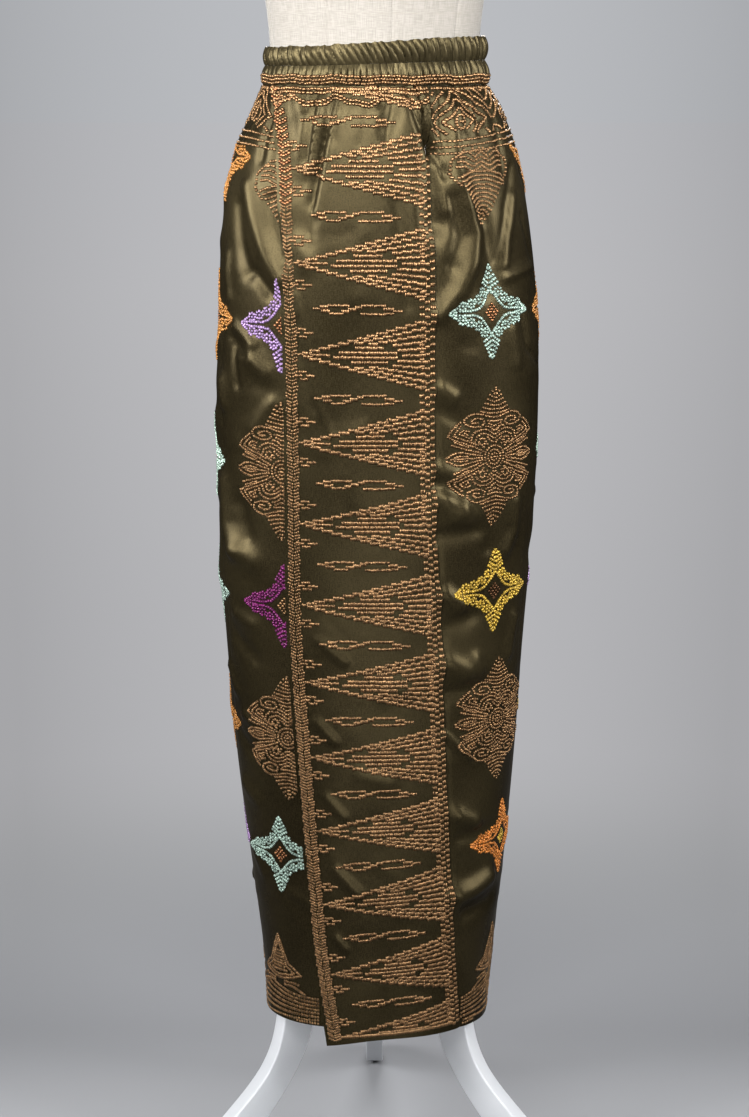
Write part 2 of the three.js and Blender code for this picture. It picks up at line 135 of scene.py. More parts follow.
def azimuthOf(x, z):  # where the front of the skirt lies x to the right of the middle
    power = readTable(skirtSections, "power", z)
    across = x - readTable(skirtSections, "centreX", z)
    share = np.minimum(1, np.abs(across / readTable(skirtSections, "halfWidth", z)))
    ahead = readTable(skirtSections, "front", z) * (1 - share**power) ** (1 / power)
    return np.degrees(np.arctan2(across, ahead))


def flapEdge(z):
    return azimuthOf(readTable(overlapEdges, "free", z), z)


def flapSeam(z):
    return azimuthOf(readTable(overlapEdges, "seam", z), z)


def sideSeam(z):
    return readTable(sideSeams, "azimuth", z)


# ---- folds ----
# Each fold: width, depth (a ridge above 0, a trough below), then the azimuths and z that it runs through.
bigFolds = [
    (15, -7.0, (37, 1140), (33, 1040)), (17, 4.0, (46, 1150), (40, 1010)),
    (11, -3.5, (10, 1152), (6, 1130)), (13, -4.0, (-30, 1120), (-36, 1030)),
    (14, -3.5, (-50, 1140), (-42, 1080)), (26, 3.5, (-66, 890), (-76, 870)),
    (26, 3.5, (-70, 700), (-80, 670)), (24, 3.0, (44, 990), (40, 900)),
    (24, 3.0, (46, 765), (52, 745)), (24, 3.0, (50, 560), (44, 600)), (24, 3.0, (52, 420), (60, 400)),
    (18, -5.0, (118, 1140), (112, 1050)), (16, -5.0, (150, 1140), (146, 1080)),
    (17, -5.5, (196, 1140), (199, 1070)), (18, -5.0, (236, 1140), (243, 1060)),
    (30, 4.0, (128, 900), (146, 860)), (30, 4.0, (214, 780), (232, 740)),
    (30, 3.5, (150, 560), (134, 520)), (28, 3.0, (205, 390), (222, 360)),
    (3.2, -5.5, (27, 1174), (29, 1134), (32, 1106)), (3.5, -4.5, (53, 1168), (55, 1150), (60, 1137)),
    (3, -3.0, (48, 1174), (47, 1158)),
]
flapFolds = [
    (4, -3.5, (2, 1172), (2, 1156)), (6, -5.0, (20, 1172), (24, 1142), (32, 1108)),
    (6, 2.8, (29, 1165), (37, 1100)), (5, 2.6, (-22, 1165), (-27, 1112), (-32, 1050)),
    (7, -3.2, (-28, 1160), (-35, 1060)), (6, -4.0, (-38, 1165), (-39, 1100)),
    (5, 2.2, (-33, 1160), (-35, 1095)), (11, 2.8, (-40, 1020), (-36, 1000)),
    (3.5, 1.8, (-41, 968), (-32, 866), (-24, 828)), (8, -1.8, (-40, 940), (-33, 855)),
    (12, 2.4, (-26, 812), (-14, 828), (-8, 834)), (4, 2.2, (-22, 290), (-17, 278)),
    (5, 2.4, (-29, 614), (-16, 592)), (4.5, 2.4, (-30, 527), (-21, 506)),
    (4.5, 2.2, (-26, 446), (-17, 424)), (5.5, 2.8, (-22, 366), (-10, 340)),
    (7, 2.4, (-44, 334), (-38, 328)), (12, 1.8, (-10, 760), (4, 752)), (12, 1.8, (5, 560), (18, 566)),
    (10, 1.6, (-8, 470), (8, 462)), (9, -1.6, (12, 1060), (16, 960)), (10, 1.8, (20, 1075), (22, 980)),
]
rightFolds = [
    (4, -3.2, (34, 1112), (38, 1085)), (7, 3.8, (36, 1092), (37, 1052)),
    (8, -4.0, (41, 1062), (42, 1025), (38, 998)),
    (9, 5.6, (44, 1078), (47, 1052), (50, 1029), (47, 1000), (40, 972), (31, 948)),
    (8, -3.8, (54, 1042), (57, 996), (53, 970)), (4, -3.2, (74, 1090), (66, 1050), (60, 1000)),
    (6, 3.2, (71, 1062), (64, 1020), (62, 996)), (3.5, -2.4, (76, 1042), (81, 998)),
    (5, 3.0, (62, 982), (78, 991)), (4, -3.2, (69, 950), (73, 908), (84, 889)),
    (8, 3.0, (64, 930), (66, 896)), (9, 5.0, (32, 872), (37, 864)), (8, -3.0, (33, 850), (43, 838)),
    (8, 4.8, (32, 792), (38, 786)), (6, -2.6, (31, 776), (40, 768)), (13, 7.6, (34, 758), (39, 744)),
    (8, 4.0, (42, 752), (45, 736)), (9, -4.2, (33, 722), (50, 728)),
    (7, 4.4, (67, 752), (66, 720), (62, 700)), (7, -2.8, (57, 746), (55, 706)),
    (11, 6.2, (35, 660), (42, 648)), (9, -3.2, (38, 628), (50, 638)), (7, 4.2, (70, 626), (67, 588)),
    (12, 6.6, (37, 587), (44, 578)), (8, 3.6, (49, 590), (51, 578)), (9, -3.8, (38, 556), (55, 562)),
    (4, 3.2, (36, 512), (47, 484)), (9, 5.6, (42, 421), (49, 412)), (8, -3.2, (43, 396), (58, 402)),
    (12.5, 9.4, (41, 333), (49, 337), (58, 345)), (10, -4.4, (46, 310), (64, 318)),
]
leftFolds = [
    (9, 5.0, (-66, 1074), (-60, 1038), (-54, 1006), (-48, 983)),
    (8, -3.8, (-71, 1052), (-67, 1012), (-63, 986)), (7, -3.4, (-54, 1062), (-50, 1027), (-46, 1002)),
    (7, -3.2, (-60, 989), (-53, 968)), (5, 2.6, (-75, 1004), (-73, 960)),
    (4.5, 3.2, (-69, 933), (-59, 916)), (5, -3.0, (-71, 919), (-62, 905)),
    (10, 5.4, (-61, 905), (-53, 888)), (4, -2.4, (-68, 906), (-66, 872)),
    (8, 4.2, (-75, 874), (-74, 850)), (9, 3.2, (-59, 830), (-50, 857)),
    (9, 4.8, (-76, 768), (-74, 724), (-67, 697)), (11, 3.6, (-67, 698), (-59, 690)),
    (10, -4.0, (-66, 748), (-62, 716)), (9, 3.2, (-69, 630), (-60, 622)),
    (9, -3.0, (-70, 604), (-60, 588)), (7, 3.4, (-79, 567), (-72, 545)),
    (7, 3.0, (-67, 521), (-61, 514)), (9, -2.6, (-74, 500), (-63, 482)),
    (10, 3.0, (-72, 440), (-62, 430)), (9, 2.6, (-70, 372), (-62, 350)),
]


gathers = {
    "count": 46, "offset": 0.35, "run": (18, 95), "lean": 2.5, "width": (3.5, 7.5), "depth": (1.2, 3.2),
    "calm": 0.25, "calmTurns": (318, 36), "seam": 1172, "start": 1176,
}
buckles = {
    "count": 260, "levels": (215, 1090), "halfRun": (8, 28), "slant": 0.35, "width": (6, 12),
    "depth": (0.6, 1.8), "calm": 0.35, "calmTurns": (-80, 85),
}
puffs = {
    "count": 64, "turns": (104, 256), "levels": (260, 1060), "halfRun": (5, 24), "slant": 0.55,
    "width": (7, 12), "depth": (3.2, 5.6), "hollow": 0.6, "drop": 2.2, "shift": (3, 4),
}


def seamGrooves(seamLine, width, depth, step=60):  # the pull of the stitching along a sewn seam
    levels = np.arange(skirt["hemLevel"], panelTop, step)
    return [(width, depth, *zip(seamLine(levels), levels))]


def slantedRun(azimuth, z, halfRun, slant):  # both ends of a short fold
    reach, rise = math.degrees(halfRun / skirt["meanRadius"]), halfRun * math.tan(slant)
    return (azimuth - reach, z - rise), (azimuth + reach, z + rise)


def looseBuckles():  # small soft buckles that lie mostly level
    rows = []
    calmFrom, calmTo = buckles["calmTurns"]
    for _ in range(buckles["count"]):
        azimuth, z = draws.uniform(-180, 180), draws.uniform(*buckles["levels"])
        ends = slantedRun(azimuth, z, draws.uniform(*buckles["halfRun"]), draws.normal(0, buckles["slant"]))
        calm = buckles["calm"] if calmFrom < azimuth < calmTo else 1.0
        depth = calm * draws.uniform(*buckles["depth"]) * draws.choice([1, 1, -1])
        rows.append((draws.uniform(*buckles["width"]), depth, *ends))
    return rows


def hiddenPuffs():  # on the sides and back, puffs with a hollow under each, like those in front
    rows = []
    for _ in range(puffs["count"]):
        azimuth, z = draws.uniform(*puffs["turns"]), draws.uniform(*puffs["levels"])
        start, end = slantedRun(azimuth, z, draws.uniform(*puffs["halfRun"]), draws.normal(0, puffs["slant"]))
        width, depth = draws.uniform(*puffs["width"]), draws.uniform(*puffs["depth"])
        rows.append((width, depth, start, end))
        drop = puffs["drop"] * width
        below = [(x + shift, z - drop) for (x, z), shift in zip((start, end), puffs["shift"])]
        rows.append((width, -puffs["hollow"] * depth, *below))
    return rows


def waistGathers():  # short gathers that run down out of the waist seam, uneven
    rows = []
    calmFrom, calmTo = gathers["calmTurns"]
    for i in range(gathers["count"]):
        azimuth = (i + draws.uniform(-gathers["offset"], gathers["offset"])) * 360 / gathers["count"]
        run = draws.uniform(*gathers["run"])
        lean = draws.normal(0, gathers["lean"])
        calm = 1.0 if calmTo <= azimuth <= calmFrom else gathers["calm"]
        width, depth = draws.uniform(*gathers["width"]), calm * draws.uniform(*gathers["depth"])
        rows.append((width, -depth, (azimuth, gathers["start"]), (azimuth + lean, gathers["seam"] - run)))
    return rows


class FoldMap:  # height that the folds add, kept on a fine grid of azimuth and z
    turnStep, levelStep, reachWidths = 0.5, 1.5, 2.6

    def __init__(self, folds):
        self.turns = np.arange(0, 360, self.turnStep)
        self.levels = np.arange(*skirt["mapped"], self.levelStep)
        self.height = np.zeros((len(self.levels), len(self.turns)))
        for fold in folds:
            self.press(*fold)

    def press(self, width, depth, *path):
        reach = self.reachWidths * width
        turns, heights = zip(*path)
        first = int(np.searchsorted(self.levels, min(heights) - reach))
        last = int(np.searchsorted(self.levels, max(heights) + reach))
        perTurn = math.radians(1) * skirt["meanRadius"]
        middle = (min(turns) + max(turns)) / 2
        x = ((self.turns - 360 * np.round((self.turns - middle) / 360)) * perTurn)[None, :]
        z = self.levels[first:last, None]
        nearest = np.full((last - first, len(self.turns)), np.inf)
        for (fromTurn, fromZ), (toTurn, toZ) in zip(path[:-1], path[1:]):
            runX, runZ = (toTurn - fromTurn) * perTurn, toZ - fromZ
            startX, startZ = x - fromTurn * perTurn, z - fromZ
            along = np.clip((startX * runX + startZ * runZ) / (runX**2 + runZ**2), 0, 1)
            nearest = np.minimum(nearest, (startX - along * runX) ** 2 + (startZ - along * runZ) ** 2)
        self.height[first:last] += depth * np.exp(-nearest / width**2)

    def read(self, azimuth, z):
        column = (np.asarray(azimuth) / self.turnStep) % len(self.turns)
        row = np.clip((np.asarray(z) - self.levels[0]) / self.levelStep, 0, len(self.levels) - 1.001)
        return gridRead(self.height, row, column)


foldMap = FoldMap(
    bigFolds + flapFolds + rightFolds + leftFolds + waistGathers() + looseBuckles() + hiddenPuffs()
    + seamGrooves(flapSeam, 4, -1.0) + seamGrooves(sideSeam, 4, -0.5)
    + seamGrooves(lambda z: -sideSeam(z), 4, -0.5)
)
print("folds pressed")


def skirtPoint(azimuth, z):
    radius = rimRadius(skirtSections, azimuth, z) + foldMap.read(azimuth, z)
    return aroundAxis(azimuth, radius, z, readTable(skirtSections, "centreX", z))


def clothPoint(azimuth, z, lift=0.0, height=0.0):  # lift is level, height is square to the cloth
    around = skirtPoint(azimuth + 0.5, z) - skirtPoint(azimuth - 0.5, z)
    upward = skirtPoint(azimuth, z + 2) - skirtPoint(azimuth, z - 2)
    square = np.cross(around, upward)
    square /= np.linalg.norm(square, axis=-1, keepdims=True)
    level = square * (1, 1, 0)
    level /= np.linalg.norm(level, axis=-1, keepdims=True)
    lift = np.broadcast_to(lift, np.shape(azimuth))[..., None]
    height = np.broadcast_to(height, np.shape(azimuth))[..., None]
    return skirtPoint(azimuth, z) + level * lift + square * height


class Girth:  # distance around the skirt, in millimetres from the front, at each azimuth and z
    def __init__(self):
        self.levels = np.linspace(*skirt["mapped"], 60)
        self.turns = np.arange(-180.0, 541.0, 1.0)
        turns, levels = np.meshgrid(self.turns, self.levels)
        rim = aroundAxis(turns, rimRadius(skirtSections, turns, levels), levels)
        steps = np.linalg.norm(np.diff(rim, axis=1), axis=-1)
        total = np.concatenate([np.zeros((len(self.levels), 1)), np.cumsum(steps, axis=1)], axis=1)
        self.around = total - total[:, [180]]
        self.evenly = np.arange(-480.0, 1400.0, 4.0)
        self.turnAt = np.stack([np.interp(self.evenly, row, self.turns) for row in self.around])

    def blend(self, values, spots, z, at):
        row = np.clip((z - self.levels[0]) / (self.levels[1] - self.levels[0]), 0, len(self.levels) - 1.001)
        column = np.clip((at - spots[0]) / (spots[1] - spots[0]), 0, len(spots) - 1.001)
        return gridRead(values, row, column)

    def azimuth(self, around, z):
        return self.blend(self.turnAt, self.evenly, np.asarray(z, float), np.asarray(around, float))

    def distance(self, azimuth, z):
        return self.blend(self.around, self.turns, np.asarray(z, float), np.asarray(azimuth, float))


girth = Girth()


# ---- mesh helpers ----
shadeAngle = {"cloth": 50, "form": 40, "hard": 35}


def deselectAll():
    if bpy.context.object and bpy.context.object.mode != "OBJECT":
        bpy.ops.object.mode_set(mode="OBJECT")
    bpy.ops.object.select_all(action="DESELECT")


def nameIt(name):
    piece = bpy.context.active_object
    piece.name = name
    piece.data.name = name
    return piece


def setPoints(piece, points):
    piece.data.vertices.foreach_set("co", np.asarray(points, np.float32).ravel())
    piece.data.update()


def getPoints(piece):
    points = np.empty(len(piece.data.vertices) * 3, np.float32)
    piece.data.vertices.foreach_get("co", points)
    return points.reshape(-1, 3).astype(float)


def makeActive(piece):
    deselectAll()
    piece.select_set(True)
    bpy.context.view_layer.objects.active = piece


def addModifier(piece, kind, **settings):
    makeActive(piece)
    modifier = piece.modifiers.new(kind.lower(), kind)
    for key, value in settings.items():
        setattr(modifier, key, value)
    bpy.ops.object.modifier_apply(modifier=modifier.name)


def bevelEdges(piece, width, angle):
    addModifier(piece, "BEVEL", width=width * millimetre, segments=3, limit_method="ANGLE",
                angle_limit=math.radians(angle))


def smoothShade(piece, kind):
    makeActive(piece)
    bpy.ops.object.shade_smooth_by_angle(angle=math.radians(shadeAngle[kind]))


def mergeSeam():
    bpy.ops.mesh.remove_doubles(threshold=0.00002)


def turnOutwards():
    bpy.ops.mesh.select_all(action="SELECT")
    bpy.ops.mesh.normals_make_consistent(inside=False)


def editMesh(piece, *steps):
    makeActive(piece)
    bpy.ops.object.mode_set(mode="EDIT")
    bpy.ops.mesh.select_all(action="SELECT")
    for step in steps:
        step()
    bpy.ops.object.mode_set(mode="OBJECT")


# A grid of faces: place(u, v) gives its points in millimetres and its cloth coordinates, u to the
# right and v up.
def gridOf(name, columns, rows, place):
    deselectAll()
    bpy.ops.mesh.primitive_grid_add(x_subdivisions=columns, y_subdivisions=rows, size=1, calc_uvs=True)
    piece = nameIt(name)
    flat = getPoints(piece) + 0.5
    points, clothPlace = place(flat[:, 0], flat[:, 1])
    setPoints(piece, inMetres(points))
    corners = np.empty(len(piece.data.loops), np.int32)
    piece.data.loops.foreach_get("vertex_index", corners)
    piece.data.uv_layers[0].name = "cloth"
    piece.data.uv_layers[0].data.foreach_set("uv", (clothPlace[corners] * millimetre).ravel())
    return piece


def sheetOf(name, columns, rows, place, wall, ring=False):  # a grid with a wall that goes inwards
    piece = gridOf(name, columns, rows, place)
    if ring:
        editMesh(piece, mergeSeam)
    addModifier(piece, "SOLIDIFY", thickness=wall * millimetre, offset=-1)
    smoothShade(piece, "cloth")
    return piece


# ---- finishes ----
class Shade:  # a node's output that takes part in sums
    def __init__(self, finish, socket):
        self.finish, self.socket = finish, socket

    def math(self, operation, a, b):
        return self.finish.node("ShaderNodeMath", {"operation": operation}, {0: a, 1: b})

    def __add__(self, other):
        return self.math("ADD", self, other)

    def __sub__(self, other):
        return self.math("SUBTRACT", self, other)

    def __rsub__(self, other):
        return self.math("SUBTRACT", other, self)

    def __mul__(self, other):
        return self.math("MULTIPLY", self, other)

    def __truediv__(self, other):
        return self.math("DIVIDE", self, other)

    __radd__ = __add__


class Finish:
    def __init__(self, name, holder=None):
        self.material = holder or bpy.data.materials.new(name)
        self.material.use_nodes = True
        self.tree = self.material.node_tree
        self.tree.nodes.clear()

    def node(self, kind, settings=None, inputs=None, output=0):
        made = self.tree.nodes.new(kind)
        for key, value in (settings or {}).items():
            if key == "stops":
                for i, (place, tone) in enumerate(value):
                    stop = made.color_ramp.elements[i] if i < 2 else made.color_ramp.elements.new(place)
                    stop.position, stop.color = place, tone
            else:
                setattr(made, key, value)
        for key, value in (inputs or {}).items():
            if isinstance(value, Shade):
                self.tree.links.new(value.socket, made.inputs[key])
            else:
                made.inputs[key].default_value = value
        return Shade(self, made.outputs[output]) if made.outputs else None

    def objectPlace(self):
        return self.node("ShaderNodeTexCoord", output="Object")

    def clothPlace(self):
        return self.node("ShaderNodeUVMap", {"uv_map": "cloth"})

    def scaled(self, place, x, y, z=1.0):
        return self.node("ShaderNodeVectorMath", {"operation": "MULTIPLY"}, {0: place, 1: (x, y, z)})

    def noise(self, place, scale, detail=2.0):
        return self.node("ShaderNodeTexNoise", None, {"Vector": place, "Scale": scale, "Detail": detail})

    def size(self, value):
        return self.node("ShaderNodeMath", {"operation": "ABSOLUTE"}, {0: value})

    def largest(self, a, b):
        return self.node("ShaderNodeMath", {"operation": "MAXIMUM"}, {0: a, 1: b})

    def ramp(self, factor, low, high):  # 0 below low, 1 above high
        inputs = {"Value": factor, "From Min": low, "From Max": high}
        return self.node("ShaderNodeMapRange", {"interpolation_type": "SMOOTHSTEP"}, inputs)

    def mixed(self, factor, a, b):
        inputs = {0: factor, 6: a, 7: b}
        return self.node("ShaderNodeMix", {"data_type": "RGBA"}, inputs, output=2)

    def part(self, place, axis):
        return self.node("ShaderNodeSeparateXYZ", None, {0: place}, axis)

    def bump(self, height, distance, strength):
        inputs = {"Height": height, "Distance": distance, "Strength": strength}
        return self.node("ShaderNodeBump", None, inputs)

    def surface(self, **sockets):
        inputs = {key.replace("_", " "): value for key, value in sockets.items()}
        shader = self.node("ShaderNodeBsdfPrincipled", None, inputs)
        self.node("ShaderNodeOutputMaterial", None, {"Surface": shader})
        return self.material


def tone(red, green, blue, alpha=1.0):  # 0 to 255, as shown on a screen
    def linear(value):
        share = value / 255
        return share / 12.92 if share <= 0.04045 else ((share + 0.055) / 1.055) ** 2.4
    return (linear(red), linear(green), linear(blue), alpha)


satin = {
    "dark": tone(30, 25, 14), "light": tone(57, 50, 33), "threadsPerMetre": 900, "drawPerMetre": 160,
    "grainPerMetre": 760, "metallic": 0.6, "roughness": 0.37, "edge": tone(150, 138, 108),
    # the waistband's satin is the same cloth, painted lighter for the light that falls on it from above
    "bandDarkPaintedLit": tone(42, 37, 24), "bandLightPaintedLit": tone(71, 63, 43),
}


def satinFinish(name, dark, light):
    finish = Finish(name)
    place = finish.clothPlace()
    floats = finish.noise(finish.scaled(place, satin["threadsPerMetre"], satin["drawPerMetre"]), 1.0, 1.0)
    grain = finish.noise(finish.scaled(place, satin["grainPerMetre"], satin["grainPerMetre"]), 1.0, 1.0)
    mottle = finish.noise(finish.objectPlace(), 9.0, 3.0)
    weave = floats * 0.4 + grain * 0.6
    shadeOfDye = finish.ramp(weave * 0.6 + mottle * 0.4, 0.34, 0.66)
    gloss = satin["roughness"] + (mottle - 0.5) * 0.1 + (weave - 0.5) * 0.2
    return finish.surface(**{
        "Base Color": finish.mixed(shadeOfDye, dark, light), "Roughness": gloss,
        "Metallic": satin["metallic"], "Specular Tint": satin["edge"],
        "Normal": finish.bump(weave, 0.0002, 0.42),
    })


thread = {
    "metallic": 0.85, "dyedMetallic": 0.3, "roughness": 0.33, "twistsPerMetre": 1900.0, "wearPerMetre": 26.0,
    "deepest": (0.45, 0.42, 0.4, 1), "full": (1, 1, 1, 1), "depth": 0.55,
}


def threadFinish():
    finish = Finish("metal_thread")
    dye = finish.node("ShaderNodeAttribute", {"attribute_name": "dye"})
    metal = finish.node("ShaderNodeAttribute", {"attribute_name": "dye"}, output="Alpha")
    place = finish.objectPlace()
    twist = finish.noise(place, thread["twistsPerMetre"], 1.0)
    wear = finish.noise(place, thread["wearPerMetre"], 2.0)
    shine = finish.ramp(twist * 0.7 + wear * 0.3, 0.3, 0.7)
    shade = finish.mixed(shine, thread["deepest"], thread["full"])
    blend = {"data_type": "RGBA", "blend_type": "MULTIPLY"}
    worn = finish.node("ShaderNodeMix", blend, {0: thread["depth"], 6: dye, 7: shade}, output=2)
    return finish.surface(**{
        "Base Color": worn, "Roughness": thread["roughness"] + (twist - 0.5) * 0.2,
        "Metallic": metal, "Normal": finish.bump(twist, 0.0002, 0.35),
    })


linen = {
    "threadsPerMetre": 1250, "drawPerMetre": 70, "slubsPerMetre": (40, 420), "dark": tone(121, 116, 108),
    "light": tone(140, 135, 128), "slub": tone(128, 121, 108), "roughness": 0.82, "sheen": 0.15,
}


def linenFinish():
    finish = Finish("linen")
    place = finish.clothPlace()
    fine, drawn = linen["threadsPerMetre"], linen["drawPerMetre"]
    warp = finish.noise(finish.scaled(place, fine, drawn), 1.0, 2.0)
    weft = finish.noise(finish.scaled(place, drawn, fine), 1.0, 2.0)
    slubs = finish.ramp(finish.noise(finish.scaled(place, *linen["slubsPerMetre"]), 1.0, 1.0), 0.62, 0.78)
    weave = (warp + weft) * 0.5
    cream = finish.mixed(finish.ramp(weave, 0.38, 0.62), linen["dark"], linen["light"])
    return finish.surface(**{
        "Base Color": finish.mixed(slubs * 0.4, cream, linen["slub"]),
        "Roughness": linen["roughness"] + (weave - 0.5) * 0.2, "Sheen Weight": linen["sheen"],
        "Normal": finish.bump(weave + slubs * 0.3, 0.0003, 0.6),
    })


paint = {
    "clean": tone(207, 209, 213), "worn": tone(195, 198, 202), "wearPerMetre": 11.0, "grainPerMetre": 420.0,
    "roughness": 0.42, "coat": 0.15,
}


def paintFinish():
    finish = Finish("white_paint")
    place = finish.objectPlace()
    grain = finish.noise(place, paint["grainPerMetre"], 2.0)
    wear = finish.ramp(finish.noise(place, paint["wearPerMetre"], 3.0), 0.35, 0.75)
    return finish.surface(**{
        "Base Color": finish.mixed(wear, paint["clean"], paint["worn"]), "Coat Weight": paint["coat"],
        "Roughness": paint["roughness"] + wear * 0.14, "Normal": finish.bump(grain, 0.0002, 0.25),
    })


steel = {
    "dark": tone(158, 160, 164), "light": tone(186, 188, 190), "linesPerMetre": 2600, "alongLines": 60,
    "stainPerMetre": 18.0, "roughness": 0.26, "metallic": 0.95,
}


def steelFinish():
    finish = Finish("steel")
    place = finish.objectPlace()
    along = steel["alongLines"]
    brushed = finish.noise(finish.scaled(place, along, along, steel["linesPerMetre"]), 1.0, 2.0)
    stain = finish.noise(place, steel["stainPerMetre"], 3.0)
    return finish.surface(**{
        "Base Color": finish.mixed(stain, steel["dark"], steel["light"]), "Metallic": steel["metallic"],
        "Roughness": steel["roughness"] + brushed * 0.16 + stain * 0.08,
        "Normal": finish.bump(brushed, 0.00008, 0.3),
    })


rubber = {
    "dark": tone(20, 20, 21), "dusty": tone(46, 45, 44), "dustPerMetre": 90.0, "grainPerMetre": 900.0,
    "roughness": 0.62,
}


def rubberFinish():
    finish = Finish("rubber")
    place = finish.objectPlace()
    dust = finish.noise(place, rubber["dustPerMetre"], 3.0)
    grain = finish.noise(place, rubber["grainPerMetre"])
    return finish.surface(**{
        "Base Color": finish.mixed(dust, rubber["dark"], rubber["dusty"]),
        "Roughness": rubber["roughness"] + dust * 0.25, "Normal": finish.bump(grain, 0.0002, 0.3),
    })


finishes = {
    "brocade": satinFinish("brocade_satin", satin["dark"], satin["light"]),
    # painted light: the waistband gets a lighter copy of the same satin
    "band": satinFinish("plain_satin", satin["bandDarkPaintedLit"], satin["bandLightPaintedLit"]),
    "thread": threadFinish(), "linen": linenFinish(), "paint": paintFinish(),
    "steel": steelFinish(), "rubber": rubberFinish(),
}


def giveFinish(piece, finish, replaced=None):
    piece.data.materials.clear()
    piece.data.materials.append(finishes[finish])
    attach(piece, "root")
    if replaced:
        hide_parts(replaced)


print("finishes ready")


# ---- cloth panels ----
panelCloth = {
    "crowd": 0.3, "edgeRoll": 0.5, "edgeWidth": 7.0, "edgePower": 4, "seamRadius": 120,
    "visibleShare": 0.76,  # of the left front's width, the rest lies under the flap
}


def halfGap(z):  # half of the gap along a seam, in degrees
    return math.degrees(skirt["seamGap"] / 2 / panelCloth["seamRadius"]) + 0 * z


def flapAcross(share, z):
    return between(flapEdge(z), flapSeam(z) - halfGap(z), share)


def rightAcross(share, z):
    return between(flapSeam(z) + halfGap(z), sideSeam(z) - halfGap(z), share)


def backAcross(share, z):
    return between(sideSeam(z) + halfGap(z), 360 - sideSeam(z) - halfGap(z), share)


def leftAcross(share, z):
    shown = panelCloth["visibleShare"]
    visible = between(-sideSeam(z) + halfGap(z), flapEdge(z), share / shown)
    hidden = (share - shown) / (1 - shown) * skirt["underlap"]
    return np.where(share < shown, visible, between(flapEdge(z), flapSeam(z), hidden))


def flapLift(share):
    return skirt["flapLift"] * (1 - share)


def underLift(share):
    shown = panelCloth["visibleShare"]
    return -skirt["flapLift"] * skirt["underlap"] * np.maximum(0, share - shown) / (1 - shown)


def noLift(share):
    return 0 * share


# Each panel: azimuth across at a height, lift across, degrees to add along the hem line, how many
# faces across and down, and its flat size in metres.
panels = {
    "front_panel": {
        "across": flapAcross, "lift": flapLift, "turn": 0, "faces": (60, 360), "cut": (0.178, 1.03),
    },
    "front_right": {
        "across": rightAcross, "lift": noLift, "turn": 0, "faces": (44, 330), "cut": (0.128, 1.03),
    },
    "left_front": {
        "across": leftAcross, "lift": underLift, "turn": 360, "faces": (68, 330), "cut": (0.205, 1.03),
    },
    "back": {
        "across": backAcross, "lift": noLift, "turn": 0, "faces": (124, 225), "cut": (0.51, 1.03),
    },
}


def hemAt(panel, share):
    level = np.full(np.shape(share), float(skirt["hemLevel"]))
    return readTable(hemLine, "z", panel["across"](share, level) + panel["turn"])


def makePanel(name, panel):
    def place(u, v):
        share = u - panelCloth["crowd"] * np.sin(2 * math.pi * u) / (2 * math.pi)
        hem = hemAt(panel, share)
        z = between(hem, panelTop, v)
        azimuth = panel["across"](share, z)
        fromHem = (z - hem) / panelCloth["edgeWidth"]
        turnedHem = np.exp(-(fromHem ** panelCloth["edgePower"])) * panelCloth["edgeRoll"]
        points = clothPoint(azimuth, z, panel["lift"](share) + turnedHem)
        return points, np.stack([girth.distance(azimuth, z), z], axis=-1)

    piece = sheetOf(f"cloth_{name}", *panel["faces"], place, skirt["wall"])
    giveFinish(piece, "brocade", name)
    return piece


panelSheets = {name: makePanel(name, panel) for name, panel in panels.items()}
print("panels made")


# ---- waistband ----
casing = {
    "gathers": 80, "depth": 3.5, "stitchedShare": 0.3, "columns": 760, "wobble": 2.4, "wobbles": 34,
    "wall": 1.2, "creasePower": 0.42, "bellyPower": 0.6, "belly": 0.3, "frillFrom": 0.7, "frillShare": 0.3,
    "fullness": 0.5, "sideLean": 0.25, "endShare": 0.02, "clothRadius": 110,
}


def unevenRound(count, spread):  # a closed run of random values over a turn
    values = draws.uniform(-spread, spread, count)
    turns = np.arange(count + 1) * 360 / count
    return lambda azimuth: np.interp(np.asarray(azimuth) % 360, turns, np.append(values, values[0]))


class Casing:  # a gathered tube of the waistband, from its foot up to its top
    def __init__(self, foot, footTilt, top, topTilt, slant, frill):
        self.foot, self.footTilt, self.top, self.topTilt, self.slant = foot, footTilt, top, topTilt, slant
        self.drift = unevenRound(casing["wobbles"], casing["wobble"])
        self.fullness = unevenRound(casing["gathers"], casing["fullness"])
        self.edge = unevenRound(casing["gathers"] * 2, frill)

    def point(self, azimuth, v, height=0.0):
        turn = np.radians(azimuth)
        tilt = between(self.footTilt, self.topTilt, v)
        frill = self.edge(azimuth) * np.maximum(0, v - casing["frillFrom"]) / casing["frillShare"]
        z = between(self.foot, self.top, v) + tilt * np.sin(turn) + frill
        inner = np.clip(v, casing["endShare"], 1 - casing["endShare"])
        belly = np.sin(math.pi * inner) ** casing["bellyPower"]
        lean = self.slant * (v - 0.5) * between(casing["sideLean"], 1, np.cos(turn) ** 2)
        phase = casing["gathers"] * turn + self.drift(azimuth) + lean * 2 * math.pi
        ridge = np.abs(np.sin(phase / 2)) ** casing["creasePower"]
        full = casing["stitchedShare"] + (1 - casing["stitchedShare"]) * belly
        crest = casing["depth"] * (1 + self.fullness(azimuth)) * (ridge * full + casing["belly"] * belly)
        radius = rimRadius(formSections, azimuth, z) + skirt["bandEase"] + skirt["bandWall"] + crest + height
        return aroundAxis(azimuth, radius, z)

    def level(self, azimuth, z):  # the share of the height at z
        tilt = (self.topTilt - self.footTilt) * np.sin(np.radians(azimuth))
        return (z - self.foot - self.footTilt * np.sin(np.radians(azimuth))) / (self.top - self.foot + tilt)

    def make(self, name, rows):
        def place(u, v):
            points = self.point(u * 360, v)
            return points, np.stack([np.radians(u * 360) * casing["clothRadius"], points[:, 2]], axis=-1)

        piece = sheetOf(f"cloth_{name}", casing["columns"], rows, place, casing["wall"], ring=True)
        # painted light: the casings take the satin that is painted lighter
        giveFinish(piece, "band", name)
        return piece


